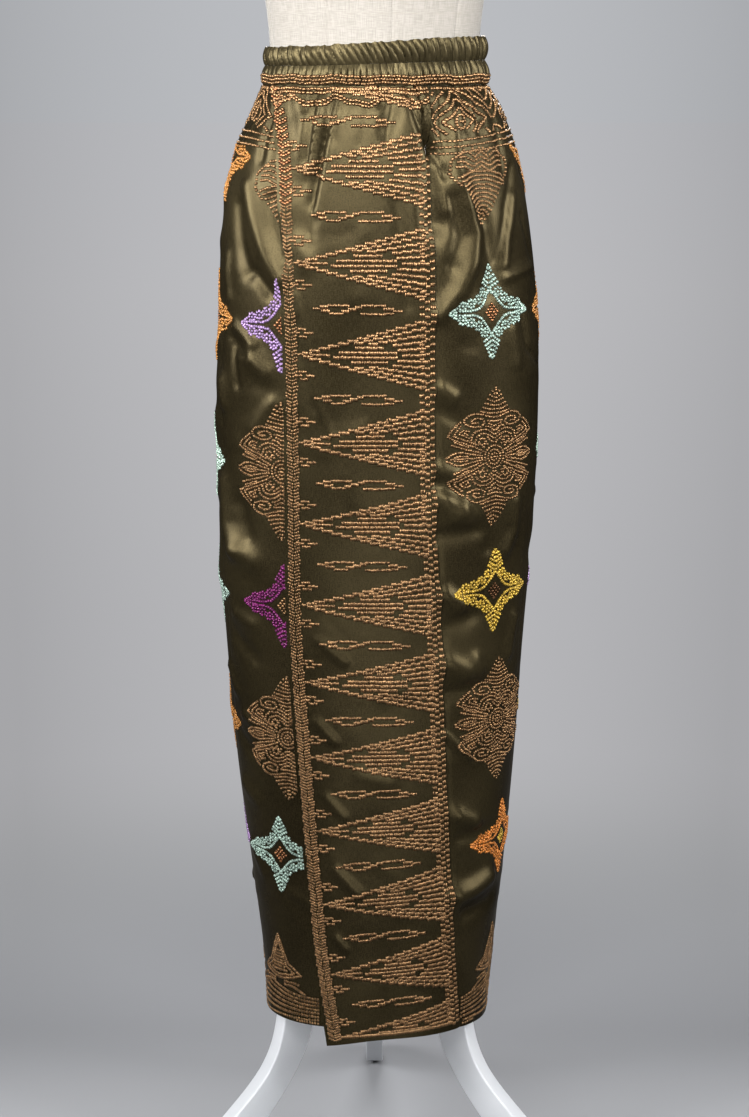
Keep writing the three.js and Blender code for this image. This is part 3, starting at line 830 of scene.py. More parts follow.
formSections = makeTable("z halfWidth front back power", [
    (838, 44, 36, 40, 2.0), (842, 78, 56, 68, 2.0), (853, 112, 74, 90, 2.05), (876, 138, 87, 105, 2.1),
    (915, 152, 95, 114, 2.1), (965, 156, 98, 116, 2.1), (1015, 150, 97, 110, 2.1),
    (1070, 138, 90, 101, 2.05), (1120, 123, 84, 91, 2.0), (1172, 110, 79.8, 83.8, 2.0),
    (1183, 108.5, 79.1, 82.5, 2.0), (1194, 107.2, 78.6, 81.5, 2.0), (1205, 106.6, 78.6, 81, 2.0),
    (1222, 107, 79.6, 81, 2.0), (1255, 110.6, 84, 83, 2.0), (1300, 118, 95, 88, 2.05),
    (1345, 127, 111, 94, 2.1), (1380, 133, 117, 99, 2.1), (1425, 137, 108, 103, 2.1),
    (1475, 145, 92, 104, 2.15), (1520, 155, 77, 97, 2.2), (1552, 156, 64, 84, 2.2),
    (1574, 138, 55, 72, 2.1), (1590, 98, 52, 62, 2.0), (1604, 66, 51, 55, 2.0),
    (1628, 54, 50, 50, 2.0), (1650, 52, 50, 50, 2.0),
])
middleTilt = skirt["waistTilt"] / 2
upperBand = Casing(
    foot=skirt["casingSeam"] + skirt["seamGap"], footTilt=middleTilt,
    top=skirt["waistTop"], topTilt=skirt["waistTilt"], slant=1.3, frill=1.0,
)
lowerBand = Casing(
    foot=skirt["bandFoot"], footTilt=0, top=skirt["casingSeam"], topTilt=middleTilt, slant=0.15, frill=0.0,
)
upperCasing = upperBand.make("waistband_upper", 18)
lowerCasing = lowerBand.make("waistband_lower", 11)
print("waistband made")


# ---- embroidery charts ----
# A chart is an array of stitches: across, up, angle in degrees, length, width and dye. Millimetres of cloth.
dyes = {
    "copper": tone(154, 120, 84), "rust": tone(172, 120, 82), "brown": tone(112, 80, 55),
    "teal": tone(158, 181, 169), "lilac": tone(170, 140, 188), "purple": tone(120, 38, 100),
    "mustard": tone(200, 166, 64), "orange": tone(208, 130, 58), "amber": tone(176, 120, 58),
    "ice": tone(180, 204, 190),
}
dyeNames = list(dyes)
metalDyes = ("copper", "rust", "brown")
bead = {"length": 3.7, "width": 3.8, "pitch": 2.95, "height": 1.4, "sunk": 0.1, "halfStep": 0.6}
star = {"pitch": 2.9, "length": 3.6, "width": 3.6, "ring": 3.9, "ringHeight": 1.0, "ringLength": 3.3}
heartBead = {"across": 4.5, "up": 2.8, "length": 4.2, "width": 3.3}
lace = {"pitch": 2.6, "length": 3.5, "width": 3.5, "spine": 3.2}
rib = {"pitch": 1.75, "length": 4.9, "short": 4.0, "small": 3.4, "width": 2.35}


def joined(*charts):
    return np.concatenate([chart for chart in charts if len(chart)])


def stitchRows(x, y, angle, length, width, dye="copper"):
    return np.stack(np.broadcast_arrays(x, y, angle, length, width, dyeNames.index(dye)), axis=1)


def beadLine(path, dye="copper", pitch=bead["pitch"], length=bead["length"], width=bead["width"]):
    points = np.array(path, float)
    along = np.concatenate([[0], np.cumsum(np.hypot(*np.diff(points, axis=0).T))])

    def spots(at):
        at = np.clip(at, 0, along[-1])
        return np.stack([np.interp(at, along, column) for column in points.T])

    at = np.linspace(0, along[-1], max(1, round(along[-1] / pitch)) + 1)
    x, y = spots(at)
    runX, runY = spots(at + bead["halfStep"]) - spots(at - bead["halfStep"])
    return stitchRows(x, y, np.degrees(np.arctan2(runY, runX)), length, width, dye)


def beadRing(x, y, radius, count, dye="copper", stretch=1.0, length=bead["length"], width=bead["width"]):
    turns = np.arange(count) * 2 * math.pi / count
    across, up = x + radius * np.cos(turns), y + radius * stretch * np.sin(turns)
    return stitchRows(across, up, np.degrees(turns) + 90, length, width, dye)


def ribs(start, end, y, length=rib["length"]):  # a row of upright stitches, side by side
    count = max(2, round((end - start) / rib["pitch"]))
    x = start + (np.arange(count) + 0.5) * (end - start) / count
    return stitchRows(x, y, 90, length, rib["width"])


def twoWays(chart, column=0):  # with its mirrored copy, sideways for column 0, upended for column 1
    copy = chart.copy()
    copy[:, [column, 2]] *= -1
    return joined(chart, copy)


def fourWays(chart):
    return twoWays(twoWays(chart), 1)


def shifted(chart, x=0.0, y=0.0, scaleX=1.0, scaleY=1.0):
    copy = chart.copy()
    copy[:, 0] = copy[:, 0] * scaleX + x
    copy[:, 1] = copy[:, 1] * scaleY + y
    return copy


def heartChart(dye):  # a small diamond of beads
    rows = []
    for row in range(-3, 4):
        count = 4 - abs(row)
        x = heartBead["across"] * (np.arange(count) - (count - 1) / 2)
        rows.append(stitchRows(x, heartBead["up"] * row, 0, heartBead["length"], heartBead["width"], dye))
    return joined(*rows)


def starChart(dye, heart):
    def line(*path):
        return beadLine(path, dye, star["pitch"], star["length"], star["width"])

    def dot(x, y, turn=0.0):
        return stitchRows([x], y, turn, star["length"], star["width"], dye)

    def ring(x, y):
        return beadRing(x, y, star["ring"], 8, dye, star["ringHeight"], star["ringLength"], star["width"])

    quarter = [line((0.9, 21.8), (5.0, 16.2), (10.0, 9.6), (15.0, 4.8), (22, 2.6), (38, 2.0))]
    for x, y in ((8.9, 20.6), (16.6, 13.8), (25.6, 9.6), (34.8, 7.2)):
        quarter += [ring(x, y), dot(x, y)]
    for level, half in ((45.2, 2.2), (41.4, 3.8), (37.6, 5.4), (33.8, 7.2), (30.0, 8.8)):  # chevrons
        quarter.append(line((1.2, level - half * 0.6), (half, level)))
    quarter.append(line((41.4, 5.2), (45.0, 3.2), (48.4, 1.0)))
    quarter.append(line((41.6, 1.6), (44.6, 0.9)))
    return joined(fourWays(joined(*quarter)), dot(0, 47.4, 90), dot(0, -47.4, -90), heartChart(heart))


# The medallion: level and half width of each line of its cap, radius and number of beads of each
# ring in the middle, and the lines of its upper right quarter.
medallionCap = ((66.4, 3.9), (62.4, 6.6), (58.4, 9.2), (54.4, 11.8), (50.4, 14.4), (46.6, 16.8))
medallionRings = ((11.4, 26), (7.4, 17), (3.7, 8), (0.7, 2))
medallionLines = (
    ((1.3, 40.0), (7, 41.0), (14, 43.4), (22, 44.6), (29, 42.8), (33.4, 38.6), (31.6, 33.8), (24, 31.2),
     (15.6, 31.6), (12.2, 35.0), (14.4, 38.8), (20.6, 39.8), (26.4, 38.2), (26.0, 35.2), (20.0, 35.4)),
    ((1.3, 36.0), (8.4, 37.0)),
    ((13.2, 6.4), (24, 11.4), (34, 15.4), (45, 19.2), (52.2, 22.8), (48.5, 28.4), (42.4, 33.0), (37.2, 36.4)),
    ((19, 12.8), (28, 16.6), (38, 19.8), (46.2, 23.2), (43.2, 27.4), (37.4, 31.8)),
    ((29.6, 20.8), (35.6, 23.2), (40.0, 25.0), (35.4, 28.6), (29.6, 27.4)),
    ((31.2, 24.2), (33.4, 25.4)),
    ((1.3, 23.0), (5, 25.8), (10, 27.8), (15, 28.2), (21, 27.0), (25.4, 23.6), (27.0, 18.6)),
    ((1.3, 18.8), (6, 22.0), (11, 24.0), (16, 23.8), (20.8, 21.2), (22.8, 16.2)),
    ((1.3, 14.8), (5.4, 17.6), (8.4, 19.8)),
    ((8.8, 13.4), (10.0, 16.4)),
    ((13.0, 10.6), (18.2, 15.6)),
    ((1.3, 27.2), (6.6, 31.0), (10.6, 31.4)),
    ((1.3, 31.6), (6.8, 34.2)),
    ((14.8, 1.9), (28, 4.6), (38, 6.6), (45.6, 5.4), (53.0, 1.4)),
    ((31, 1.9), (38, 2.9), (44, 1.9)),
    ((16.6, 5.0), (31, 9.2), (47.6, 13.8)),
    ((30, 11.8), (44, 16.6)),
)


def medallionChart():
    def line(*path, width=lace["width"]):
        return beadLine(path, "copper", lace["pitch"], lace["length"], width)

    def ring(x, y, radius, count):
        return beadRing(x, y, radius, count, length=lace["length"], width=lace["width"])

    quarter = [line(*path) for path in medallionLines]
    for level, half in medallionCap:
        quarter.append(line((1.3, level - 2.6), (half * 0.6, level - 1.6), (half, level)))
    quarter.append(ring(14.6, 16.4, 3.4, 8))
    spines = [line((side * 15.4, 0), (side * 49, 0), width=lace["spine"]) for side in (-1, 1)]
    tips = [line((0, end * 67.4), (0, end * 69.4)) for end in (-1, 1)]
    rings = [ring(0, 0, radius, count) for radius, count in medallionRings]
    return joined(fourWays(joined(*quarter)), *spines, *tips, *rings)


crownWidth = 0.7


# The medallion that hangs from the waist band: rows that rise and fall, then arches to a point.
def crownChart():
    def line(*path):
        return beadLine(path, "copper", lace["pitch"] / crownWidth, lace["length"], lace["width"])

    def acrossBoth(half, level, lifts, *middle):
        right = [(half * share, level + lift) for share, lift in lifts]
        return line(*[(-x, y) for x, y in right], *middle, *reversed(right))

    rows = []
    for level, half in ((-2.6, 27), (-7.0, 33), (-11.4, 38), (-15.8, 41), (-20.2, 43)):
        rows.append(acrossBoth(half, level, ((1, 1.8), (0.72, 2.4), (0.36, -2.4)), (0, level + 2.4)))
    for k in range(12):
        lifts = ((1, -3.0), (0.8, -1.2), (0.5, 0.9), (0.2, 2.0))
        rows.append(acrossBoth(43 * (1 - k / 11.8), -24.6 - 3.9 * k, lifts))
    for side in (-1, 1):
        rows.append(line((side * 31, -3), (side * 50, -12), (side * 51.5, -26), (side * 41, -35)))
    return joined(*rows)


tumpal = {
    "pitch": 92.5, "reach": 127, "tip": 5, "step": 9.9, "rise": 2.62, "columns": 13, "lensFrom": 3,
    "lensTo": 10, "overlap": 1.6, "fan": (5, 7, 9, 10, 10), "edge": 1.4, "sunk": 0.6, "fanEdge": 1.8,
    "fanSunk": 0.3, "leastRow": 4,
}


def tumpalChart():  # a triangle that lies on its side: its tip at 0, 0 and its base at the right
    tip, step, rise, overlap = tumpal["tip"], tumpal["step"], tumpal["rise"], tumpal["overlap"]
    rows = [ribs(0, 7, 0, rib["short"]), ribs(tip, 16, 1.6), ribs(6, 17, -2.2)]
    for k in range(1, tumpal["columns"]):
        start, end = tip + step * k - overlap, tip + step * (k + 1)
        top = tumpal["edge"] + rise * k
        rows.append(ribs(start, end, top))
        rows.append(ribs(start, end, -tumpal["sunk"] - top))
        if k < tumpal["lensFrom"]:
            rows.append(ribs(start, end, 0, rib["short"]))
    for place, firstColumn in enumerate(tumpal["fan"]):  # lines of bricks that fan out to the base
        share = 1 - (place + 1) / len(tumpal["fan"])
        shift = step / 2 if place % 2 == 0 else 0.0
        for k in range(firstColumn, tumpal["columns"]):
            start = tip + step * k + shift
            end = min(start + step, tip + step * tumpal["columns"])
            half = share * (tumpal["fanEdge"] + rise * (k + shift / step))
            if end - start > tumpal["leastRow"]:
                for side in (1, -1) if share else (1,):
                    rows.append(ribs(start, end, side * half - tumpal["fanSunk"]))
    lensStart, lensEnd = tip + step * tumpal["lensFrom"], tip + step * tumpal["lensTo"]
    for level, inset in ((7.6, 26), (2.6, 9), (-2.4, 3), (-7.4, 22)):  # the lens in the middle
        rows.append(ribs(lensStart + inset, lensEnd - max(0, inset - 12), level))
    return joined(*rows)


def leafChart():  # a slim waving leaf between two triangles
    long, short = rib["length"], rib["short"]
    bars = ((-45.6, -38, 0.9, short), (-38, -29.5, 2.8, long), (-30, -8, 4.2, short), (-37, -28, -1.4, long),
            (-29, -14, -4.0, short), (-16, -8, -1.6, long), (-9, -1, 0.4, long), (-2, 5, 2.6, long),
            (4, 29, 4.2, short), (27, 37, 0.6, long), (36, 46, -1.4, short), (3, 12, -4.4, short),
            (10, 29, -4.6, short), (27, 37, -4.0, short))
    return joined(*[ribs(*bar) for bar in bars])


def twigChart():  # a small cross of four bars
    bars = ((-3, 4, 0), (1, 10, 3.8), (8, 18, 0), (2, 11, -3.8))
    return joined(*[ribs(*bar, rib["short"]) for bar in bars])


def spireChart():  # a pointed crest with a wing on each side, that stands on the hem band
    paths = [
        [(0, 58), (5, 45), (10, 31), (15, 19), (21, 15), (31, 6), (20, 0.6), (9, -2.6), (0, -3.4)],
        [(0, 49.5), (4.2, 38), (8.4, 26), (12.2, 14.6), (18, 10.4), (23.6, 6.4), (15, 3.4), (0, 0.8)],
        [(9, -7), (20, -6.6), (28, -8)],
        [(9, -11.4), (20, -11.6), (29, -15.4), (36, -20)],
    ]
    bars = ((34.6, 2.2), (30.2, 3.6), (25.8, 4.8), (21.4, 6.2), (17.0, 7.4), (12.6, 8.4), (8.2, 12))
    paths += [[(1.4, level), (reach, level)] for level, reach in bars]
    return twoWays(joined(*[beadLine(path) for path in paths]))


waistBand = {
    "level": 1121.0, "repeat": 104, "pitch": 2.7, "lines": (-3.4, -9.4, -15.4), "linePitch": 8.85,
    "lineBead": {"length": 3.3, "width": 3.1},
    "lead": 20,  # how much of its first repeat the band loses under the flap's seam
}


def waistChart():  # one repeat of the band under the waist, its foot at 0: diamonds within diamonds
    paths = [
        [(1.3, 43.4), (36, 14.5), (22, 2)], [(1.3, 35.6), (27, 14.5), (15, 3.8)],
        [(1.3, 27.2), (17, 14.5), (8.4, 7.0)], [(45.4, 42.2), (50.6, 38.6)],
        [(50.6, 5), (44.5, 0.8)], [(33, 4), (36.5, 1)],
    ]
    paths += [[(top, 43.6), (50.6, foot)] for top, foot in ((13, 13), (23.5, 21.6), (34, 30.2))]
    half = [beadLine(path, pitch=waistBand["pitch"]) for path in paths]
    return twoWays(joined(*half, beadRing(0, 14.5, 6.2, 14, stretch=1.1), beadRing(0, 14.5, 1.5, 2)))


hemBand = {
    "level": 230.0, "repeat": 150, "lines": 7, "lowest": 3.0, "apart": 8.9, "lowestEnd": 7.6, "apartEnd": 5.1,
    "sweep": 1.1, "sweepStep": 0.16, "firstCrest": 58, "lastCrest": 52, "crestFoot": 62,
    "warpReach": 40, "warpLeast": 0.25,
}


def hemChart():  # one repeat of the band along the hem, its foot at 0: lines that sweep up from both ends
    reach, edge = np.linspace(0, 1, 13), hemBand["repeat"] / 2
    half = [beadLine([(edge, 3.2), (52, 3.2)])]
    for i in range(hemBand["lines"]):
        foot, top = hemBand["lowestEnd"] + hemBand["apartEnd"] * i, hemBand["lowest"] + hemBand["apart"] * i
        sweep = reach ** (hemBand["sweep"] + hemBand["sweepStep"] * i)
        half.append(beadLine(list(zip(edge * (1 - reach), between(foot, top, sweep)))))
    return twoWays(joined(*half))


braid = {  # in shares of the column's width: starts of the groups, their width, and how they lean
    "groups": ((0.0, 1.3), (0.345, -0.9), (0.69, 1.3)), "group": 0.3,
    "legs": ((0.03, -1), (0.53, 1)), "leg": 0.43, "nudge": 0.03, "pivot": 0.22, "lean": 0.45,
    "levels": (1.5, -1.7),
}


def rightBraidRow(width):  # three groups, the middle one lower
    wide = braid["group"]
    return joined(*[ribs(start * width, (start + wide) * width, up) for start, up in braid["groups"]])


def leftBraidRow(width, odd):  # two leaning groups that make a V, each two ribs high
    nudge = braid["nudge"] if odd else -braid["nudge"]
    rows = []
    for start, slope in braid["legs"]:
        for up in braid["levels"]:
            row = ribs((start + nudge) * width, (start + nudge + braid["leg"]) * width, up, rib["small"])
            row[:, 1] += slope * braid["lean"] * (row[:, 0] - (start + braid["pivot"]) * width)
            rows.append(row)
    return joined(*rows)


def zigzagRow(width):  # the open braid near the waist
    across = width * np.array([0.08, 0.25, 0.42, 0.58, 0.76, 0.92])
    dip = np.array([2.0, 0.6, -0.9, -0.4, 1.2, 2.2])
    upper = beadLine(list(zip(across, dip)), pitch=2.8)
    return joined(upper, beadLine(list(zip(across, dip - 3.2)), "rust", 2.8))


# ---- embroidery on the cloth ----
stitchShape = np.array([  # way along, share of the width, inset from the end, and 1 on the crest
    (-1, 0, 0, 0), (-1, -0.5, 0.55, 0), (1, -0.5, 0.55, 0), (1, 0, 0, 0), (1, 0.5, 0.55, 0),
    (-1, 0.5, 0.55, 0), (-1, 0, 1.4, 1), (1, 0, 1.4, 1),
])
stitchFaces = np.array([  # corners of each face, the triangles with their last corner twice
    (1, 2, 7, 6), (4, 5, 6, 7), (2, 3, 7, 7), (3, 4, 7, 7), (5, 0, 6, 6), (0, 1, 6, 6), (0, 5, 2, 1),
    (5, 4, 3, 2),
])
sewing = {  # jitter is across, up and in degrees
    "jitter": (0.16, 0.2, 4), "shades": (0.56, 1.22), "inset": 0.36, "crest": 0.4, "crestByWidth": 0.6,
}
dyeTones = np.array([dyes[name] for name in dyeNames])
dyeTones[:, 3] = [thread["metallic"] if name in metalDyes else thread["dyedMetallic"] for name in dyeNames]


def sewOn(name, chart, surface):
    chart = chart[np.lexsort((chart[:, 0], chart[:, 1]))]
    chart[:, :3] += draws.normal(0, 1, (len(chart), 3)) * sewing["jitter"]
    turn = np.radians(chart[:, 2])[:, None]
    inset = np.minimum(stitchShape[:, 2], chart[:, 3:4] * sewing["inset"])
    along, across = stitchShape[:, 0] * (chart[:, 3:4] / 2 - inset), stitchShape[:, 1] * chart[:, 4:5]
    x = chart[:, 0:1] + along * np.cos(turn) - across * np.sin(turn)
    z = chart[:, 1:2] + along * np.sin(turn) + across * np.cos(turn)
    crest = bead["height"] * (sewing["crest"] + sewing["crestByWidth"] * chart[:, 4:5] / bead["width"])
    height = np.where(stitchShape[:, 3] > 0, crest, -bead["sunk"])
    points = inMetres(surface(x.ravel(), z.ravel(), height.ravel()))
    corners = (np.arange(len(chart))[:, None, None] * len(stitchShape) + stitchFaces).reshape(-1, 4)
    faces = [face[:3] if face[2] == face[3] else face for face in corners.tolist()]
    mesh = bpy.data.meshes.new(name)
    mesh.from_pydata(points.tolist(), [], faces)
    mesh.shade_smooth()
    tint = dyeTones[chart[:, 5].astype(int)].copy()
    tint[:, :3] *= draws.uniform(*sewing["shades"], (len(chart), 1))
    dye = mesh.color_attributes.new("dye", "FLOAT_COLOR", "POINT")
    dye.data.foreach_set("color", np.repeat(tint, len(stitchShape), axis=0).astype(np.float32).ravel())
    piece = bpy.data.objects.new(name, mesh)
    bpy.context.scene.collection.objects.link(piece)
    giveFinish(piece, "thread")
    print(name, len(chart), "stitches")
    return piece


repeatLevels = (1184.6, 1092, 999.5, 908.3, 818.7, 735.0, 650.4, 568.5, 487.7, 407.8, 326.8, 249.2, 178.9)
flapColumn = {
    "margin": 3.2, "leftTop": 11.5, "leftFoot": 14.5, "right": 15.5, "rightMargin": 1.2, "firstDrop": 14.0,
    "looseUntil": 130, "rightHead": 1102, "end": 1120, "twigs": (-22, 22),
}
braidPitch = makeTable("drop pitch", [(0, 7.9), (130, 7.7), (600, 7.3), (1120, 7.0)])
flapTilt = makeTable("z rise", [(170, 0.088), (327, 0.086), (408, 0.05), (480, 0.012), (560, 0), (1200, 0)])


def levelAt(drop):
    return np.interp(drop, tumpal["pitch"] * np.arange(len(repeatLevels)), repeatLevels)


def flapEdges(z):
    left = girth.distance(flapEdge(z), z) + flapColumn["margin"]
    right = girth.distance(flapSeam(z), z) - flapColumn["rightMargin"]
    leftWide = np.interp(z, (500, 1100), (flapColumn["leftFoot"], flapColumn["leftTop"]))
    return left, left + leftWide, right - flapColumn["right"], right


def onFlap(chart, drop):  # places a chart that is drawn from the left column's inner edge
    z = levelAt(drop - chart[:, 1])
    _, inner, outer, _ = flapEdges(z)
    fit = (outer - inner) / tumpal["reach"]
    placed = chart.copy()
    placed[:, 0] = inner + chart[:, 0] * fit
    tilt = readTable(flapTilt, "rise", z)
    placed[:, 1] = z + chart[:, 0] * fit * tilt
    placed[:, 2] += np.degrees(np.arctan(tilt))
    return placed


def braidCharts():  # the columns of braid along both edges of the flap
    charts = []
    drop, odd = flapColumn["firstDrop"], False
    while drop < flapColumn["end"]:
        z = float(levelAt(drop))
        left, inner, outer, right = flapEdges(z)
        tilt = readTable(flapTilt, "rise", z)
        loose = drop < flapColumn["looseUntil"]
        row = zigzagRow(inner - left) if loose else leftBraidRow(inner - left, odd)
        charts.append(shifted(row, left, z + tilt * (left - inner)))
        if z < flapColumn["rightHead"]:
            charts.append(shifted(rightBraidRow(right - outer), outer, z + tilt * (outer - inner)))
        drop += readTable(braidPitch, "pitch", drop)
        odd = not odd
    return charts


def flapCharts():
    charts = []
    triangle, leaf, twig = tumpalChart(), leafChart(), twigChart()
    for k in range(len(repeatLevels)):
        drop = k * tumpal["pitch"]
        charts.append(onFlap(triangle, drop))
        for up in flapColumn["twigs"]:
            charts.append(onFlap(shifted(twig, 0, up), drop))
        charts.append(onFlap(shifted(leaf, tumpal["reach"] / 2, 0), drop + tumpal["pitch"] / 2))
    return charts + braidCharts()


# Rows of motifs around the skirt: their level, X of the columns on the right and on the left in
# front, and how much lower the left one lies.
motifRows = makeTable("z right left lower", [
    (1113, 106, -86, 14), (949, 118, -93, 13), (801, 122, -94, 14), (660, 124, -93, 13),
    (520, 129, -90, 15), (385, 134, -100, 10),
])
clothStretch = makeTable("z share", [
    (170, 0.8), (370, 0.865), (530, 0.885), (700, 0.915), (800, 0.945), (950, 0.98), (1172, 1.0),
])
starDyes = [column.split() for column in (  # around from the flap's seam, each from the top down
    "teal teal mustard mustard orange orange",
    "amber amber ice lilac mustard teal",
    "mustard teal orange purple lilac amber",
    "teal lilac mustard orange teal purple",
    "lilac orange teal mustard purple ice",
    "amber amber ice teal amber lilac",
    "lilac lilac purple purple teal teal",
)]
hearts = {"orange": "mustard", "mustard": "brown", "purple": "copper"}
motifs = {"top": 1112, "tall": 1.08, "huddle": 0.06}
lastPlace = len(starDyes) - 1


def bodyMotifs():
    crown = shifted(crownChart(), scaleX=crownWidth, scaleY=motifs["tall"])
    medallion = shifted(medallionChart(), scaleY=motifs["tall"])
    charts = []
    for row, z in enumerate(motifRows["z"][::-1]):
        lower = readTable(motifRows, "lower", z)
        around = girth.distance(180, z) * 2
        right = girth.distance(azimuthOf(readTable(motifRows, "right", z), z), z)
        left = girth.distance(azimuthOf(readTable(motifRows, "left", z - lower), z), z) + around
        for place in range(lastPlace + 1):
            share = place / lastPlace
            if row > 1 and 0 < place < lastPlace:
                share = between(share, 0.5, motifs["huddle"])
            x = between(right, left, share)
            if place % 2 == 0 and row % 2 == 0:
                chart = medallion if row else crown
            else:
                dye = starDyes[place][row]
                chart = starChart(dye, hearts.get(dye, "rust"))
            stretch = readTable(clothStretch, "share", z)
            placed = shifted(chart, x - around * round(x / around), z - lower * share, 1, stretch)
            charts.append(placed[placed[:, 1] < motifs["top"]])
    return charts


waistRise = makeTable("azimuth rise", [
    (30, 0), (45, 1.5), (62, 5), (80, 9), (110, 8), (180, 5), (250, 8), (285, 9), (305, 4), (325, -1),
    (360, -2),
])
hemWarp = makeTable("azimuth rise", [
    (-90, 0), (30, 0), (60, 8), (88, 16), (180, 14), (245, 6), (270, 0), (450, 0),
])


def bandReach(level):  # where a band round the body starts and ends, in millimetres around
    full = girth.distance(180, level) * 2
    return girth.distance(flapSeam(level), level), girth.distance(flapEdge(level), level) + full


def aroundBand(chart, repeat, start, end):  # repeats a chart from start to end
    count = round((end - start) / repeat)
    fit = (end - start) / (count * repeat)
    band = joined(*[shifted(chart, (k + 0.5) * repeat, 0) for k in range(count)])
    band[:, 0] = start + band[:, 0] * fit
    return band


def waistBandAround():
    level, pitch = waistBand["level"], waistBand["linePitch"]
    start, end = bandReach(level)
    diamonds = aroundBand(waistChart(), waistBand["repeat"], start - waistBand["lead"], end)
    lines = [beadLine([(0, up), (pitch, up)], **waistBand["lineBead"])[:3] for up in waistBand["lines"]]
    band = joined(diamonds[diamonds[:, 0] > start], aroundBand(joined(*lines), pitch, start, end))
    azimuth = girth.azimuth(band[:, 0], level)
    band[:, 1] += level + readTable(waistRise, "rise", azimuth)
    band[:, 0] = girth.distance(azimuth, band[:, 1])
    return band


def hemBandAround():
    start, end = bandReach(hemBand["level"])
    parts = [aroundBand(hemChart(), hemBand["repeat"], start, end)]
    first, last = start + hemBand["firstCrest"], end - hemBand["lastCrest"]
    for place in range(lastPlace + 1):
        parts.append(shifted(spireChart(), between(first, last, place / lastPlace), hemBand["crestFoot"]))
    band = joined(*parts)
    azimuth = girth.azimuth(band[:, 0], hemBand["level"])
    warpShare = np.minimum(1, band[:, 1] / hemBand["warpReach"] + hemBand["warpLeast"])
    warp = readTable(hemWarp, "rise", azimuth) * warpShare
    band[:, 1] = readTable(hemLine, "z", azimuth) + warp + band[:, 1] * clothStretch["share"][0]
    band[:, 0] = girth.distance(azimuth, band[:, 1])
    return band


# Rows of beads below and above the seam of the waistband: level or height above the seam, shift
# along, and swing.
strip = {
    "panel": ((1169.4, 0, 0.4), (1165.9, 1.5, 0.6), (1159.6, 0, 3.4), (1156.2, 1.5, 3.4)),
    "casing": ((2.2, 1.5, 0.7), (5.6, 0, 0.7), (9.0, 1.5, 0.7)),
    "longWave": 52, "shortWave": 23, "shortShare": 0.4, "lift": 5,
}


def stripRow(level, shift, swing, full):
    x = np.arange(-full / 2, full / 2, bead["pitch"]) + shift
    longWave, shortWave = (np.sin(x / strip[key] * 2 * math.pi) for key in ("longWave", "shortWave"))
    wave = swing * (longWave + strip["shortShare"] * shortWave)
    return stitchRows(x, level + wave, 0, bead["length"], bead["width"])


def waistStrip(count):
    return joined(*[stripRow(*row, girth.distance(180, row[0]) * 2) for row in strip["panel"][:count]])


def sewCasing():  # rows of beads around the foot of the lower casing
    turns = np.arange(-180.0, 181.0)
    rim = aroundAxis(turns, rimRadius(formSections, turns, skirt["bandFoot"]) + strip["lift"], 0)
    around = np.concatenate([[0], np.cumsum(np.linalg.norm(np.diff(rim, axis=0), axis=-1))])
    around -= around[180]

    def surface(x, z, height):
        azimuth = np.interp(x, around, turns)
        return lowerBand.point(azimuth, lowerBand.level(azimuth, z), height)

    rows = [stripRow(skirt["bandFoot"] + up, *row, around[-1] * 2) for up, *row in strip["casing"]]
    return sewOn("stitches_waistband", joined(*rows), surface)


# How far stitches stay from the edges of the cloth, in millimetres, and from a seam, in degrees.
margin = {"hem": 2.2, "flapHem": 2.6, "top": 1.2, "seam": 0.9, "flapEdge": 0.5, "flapSeam": 0.3}


def sewFlap():
    head = waistStrip(4)
    z = head[:, 1]
    azimuth = girth.azimuth(head[:, 0], z)
    shown = (azimuth > flapEdge(z) + margin["seam"]) & (azimuth < flapSeam(z) - margin["seam"])
    chart = joined(*flapCharts(), head[shown])
    z = chart[:, 1]
    azimuth = girth.azimuth(chart[:, 0], z)
    inside = (z > readTable(hemLine, "z", azimuth) + margin["flapHem"]) & (z < panelTop - margin["top"])
    inside &= (azimuth > flapEdge(z) + margin["flapEdge"]) & (azimuth < flapSeam(z) - margin["flapSeam"])

    def surface(x, z, height):
        azimuth = girth.azimuth(x, z)
        edge, seam = flapEdge(z), flapSeam(z)
        return clothPoint(azimuth, z, skirt["flapLift"] * (seam - azimuth) / (seam - edge), height)

    return sewOn("stitches_front_panel", chart[inside], surface)


def sewBody():
    chart = joined(*bodyMotifs(), waistBandAround(), hemBandAround(), waistStrip(1))
    z = chart[:, 1]
    full = girth.distance(180, z) * 2
    chart[:, 0] -= full * np.round(chart[:, 0] / full)
    azimuth = girth.azimuth(chart[:, 0], z)
    hem = readTable(hemLine, "z", np.where(azimuth < 0, azimuth + 360, azimuth))
    inside = (z > hem + margin["hem"]) & (z < panelTop - margin["top"])
    edge, seam, side, gap = flapEdge(z), flapSeam(z), sideSeam(z), margin["seam"]
    homes = {
        "front_right": (azimuth > seam + gap) & (azimuth < side - gap / 2),
        "left_front": (azimuth > -side + gap / 2) & (azimuth < edge + gap),
        "back": (azimuth > side + gap / 2) | (azimuth < -side - gap / 2),
    }

    def surface(x, z, height):
        return clothPoint(girth.azimuth(x, z), z, 0.0, height)

    return {name: sewOn(f"stitches_{name}", chart[inside & home], surface) for name, home in homes.items()}


panelStitches = {"front_panel": sewFlap(), **sewBody()}
bandStitches = sewCasing()
print("embroidery sewn")


# ---- dress form ----
form = {
    "gores": 8, "firstSeam": 12, "goreColumns": 14, "rows": 170, "grooveDepth": 0.9, "grooveWidth": 1.1,
    "clothRadius": 120,
}


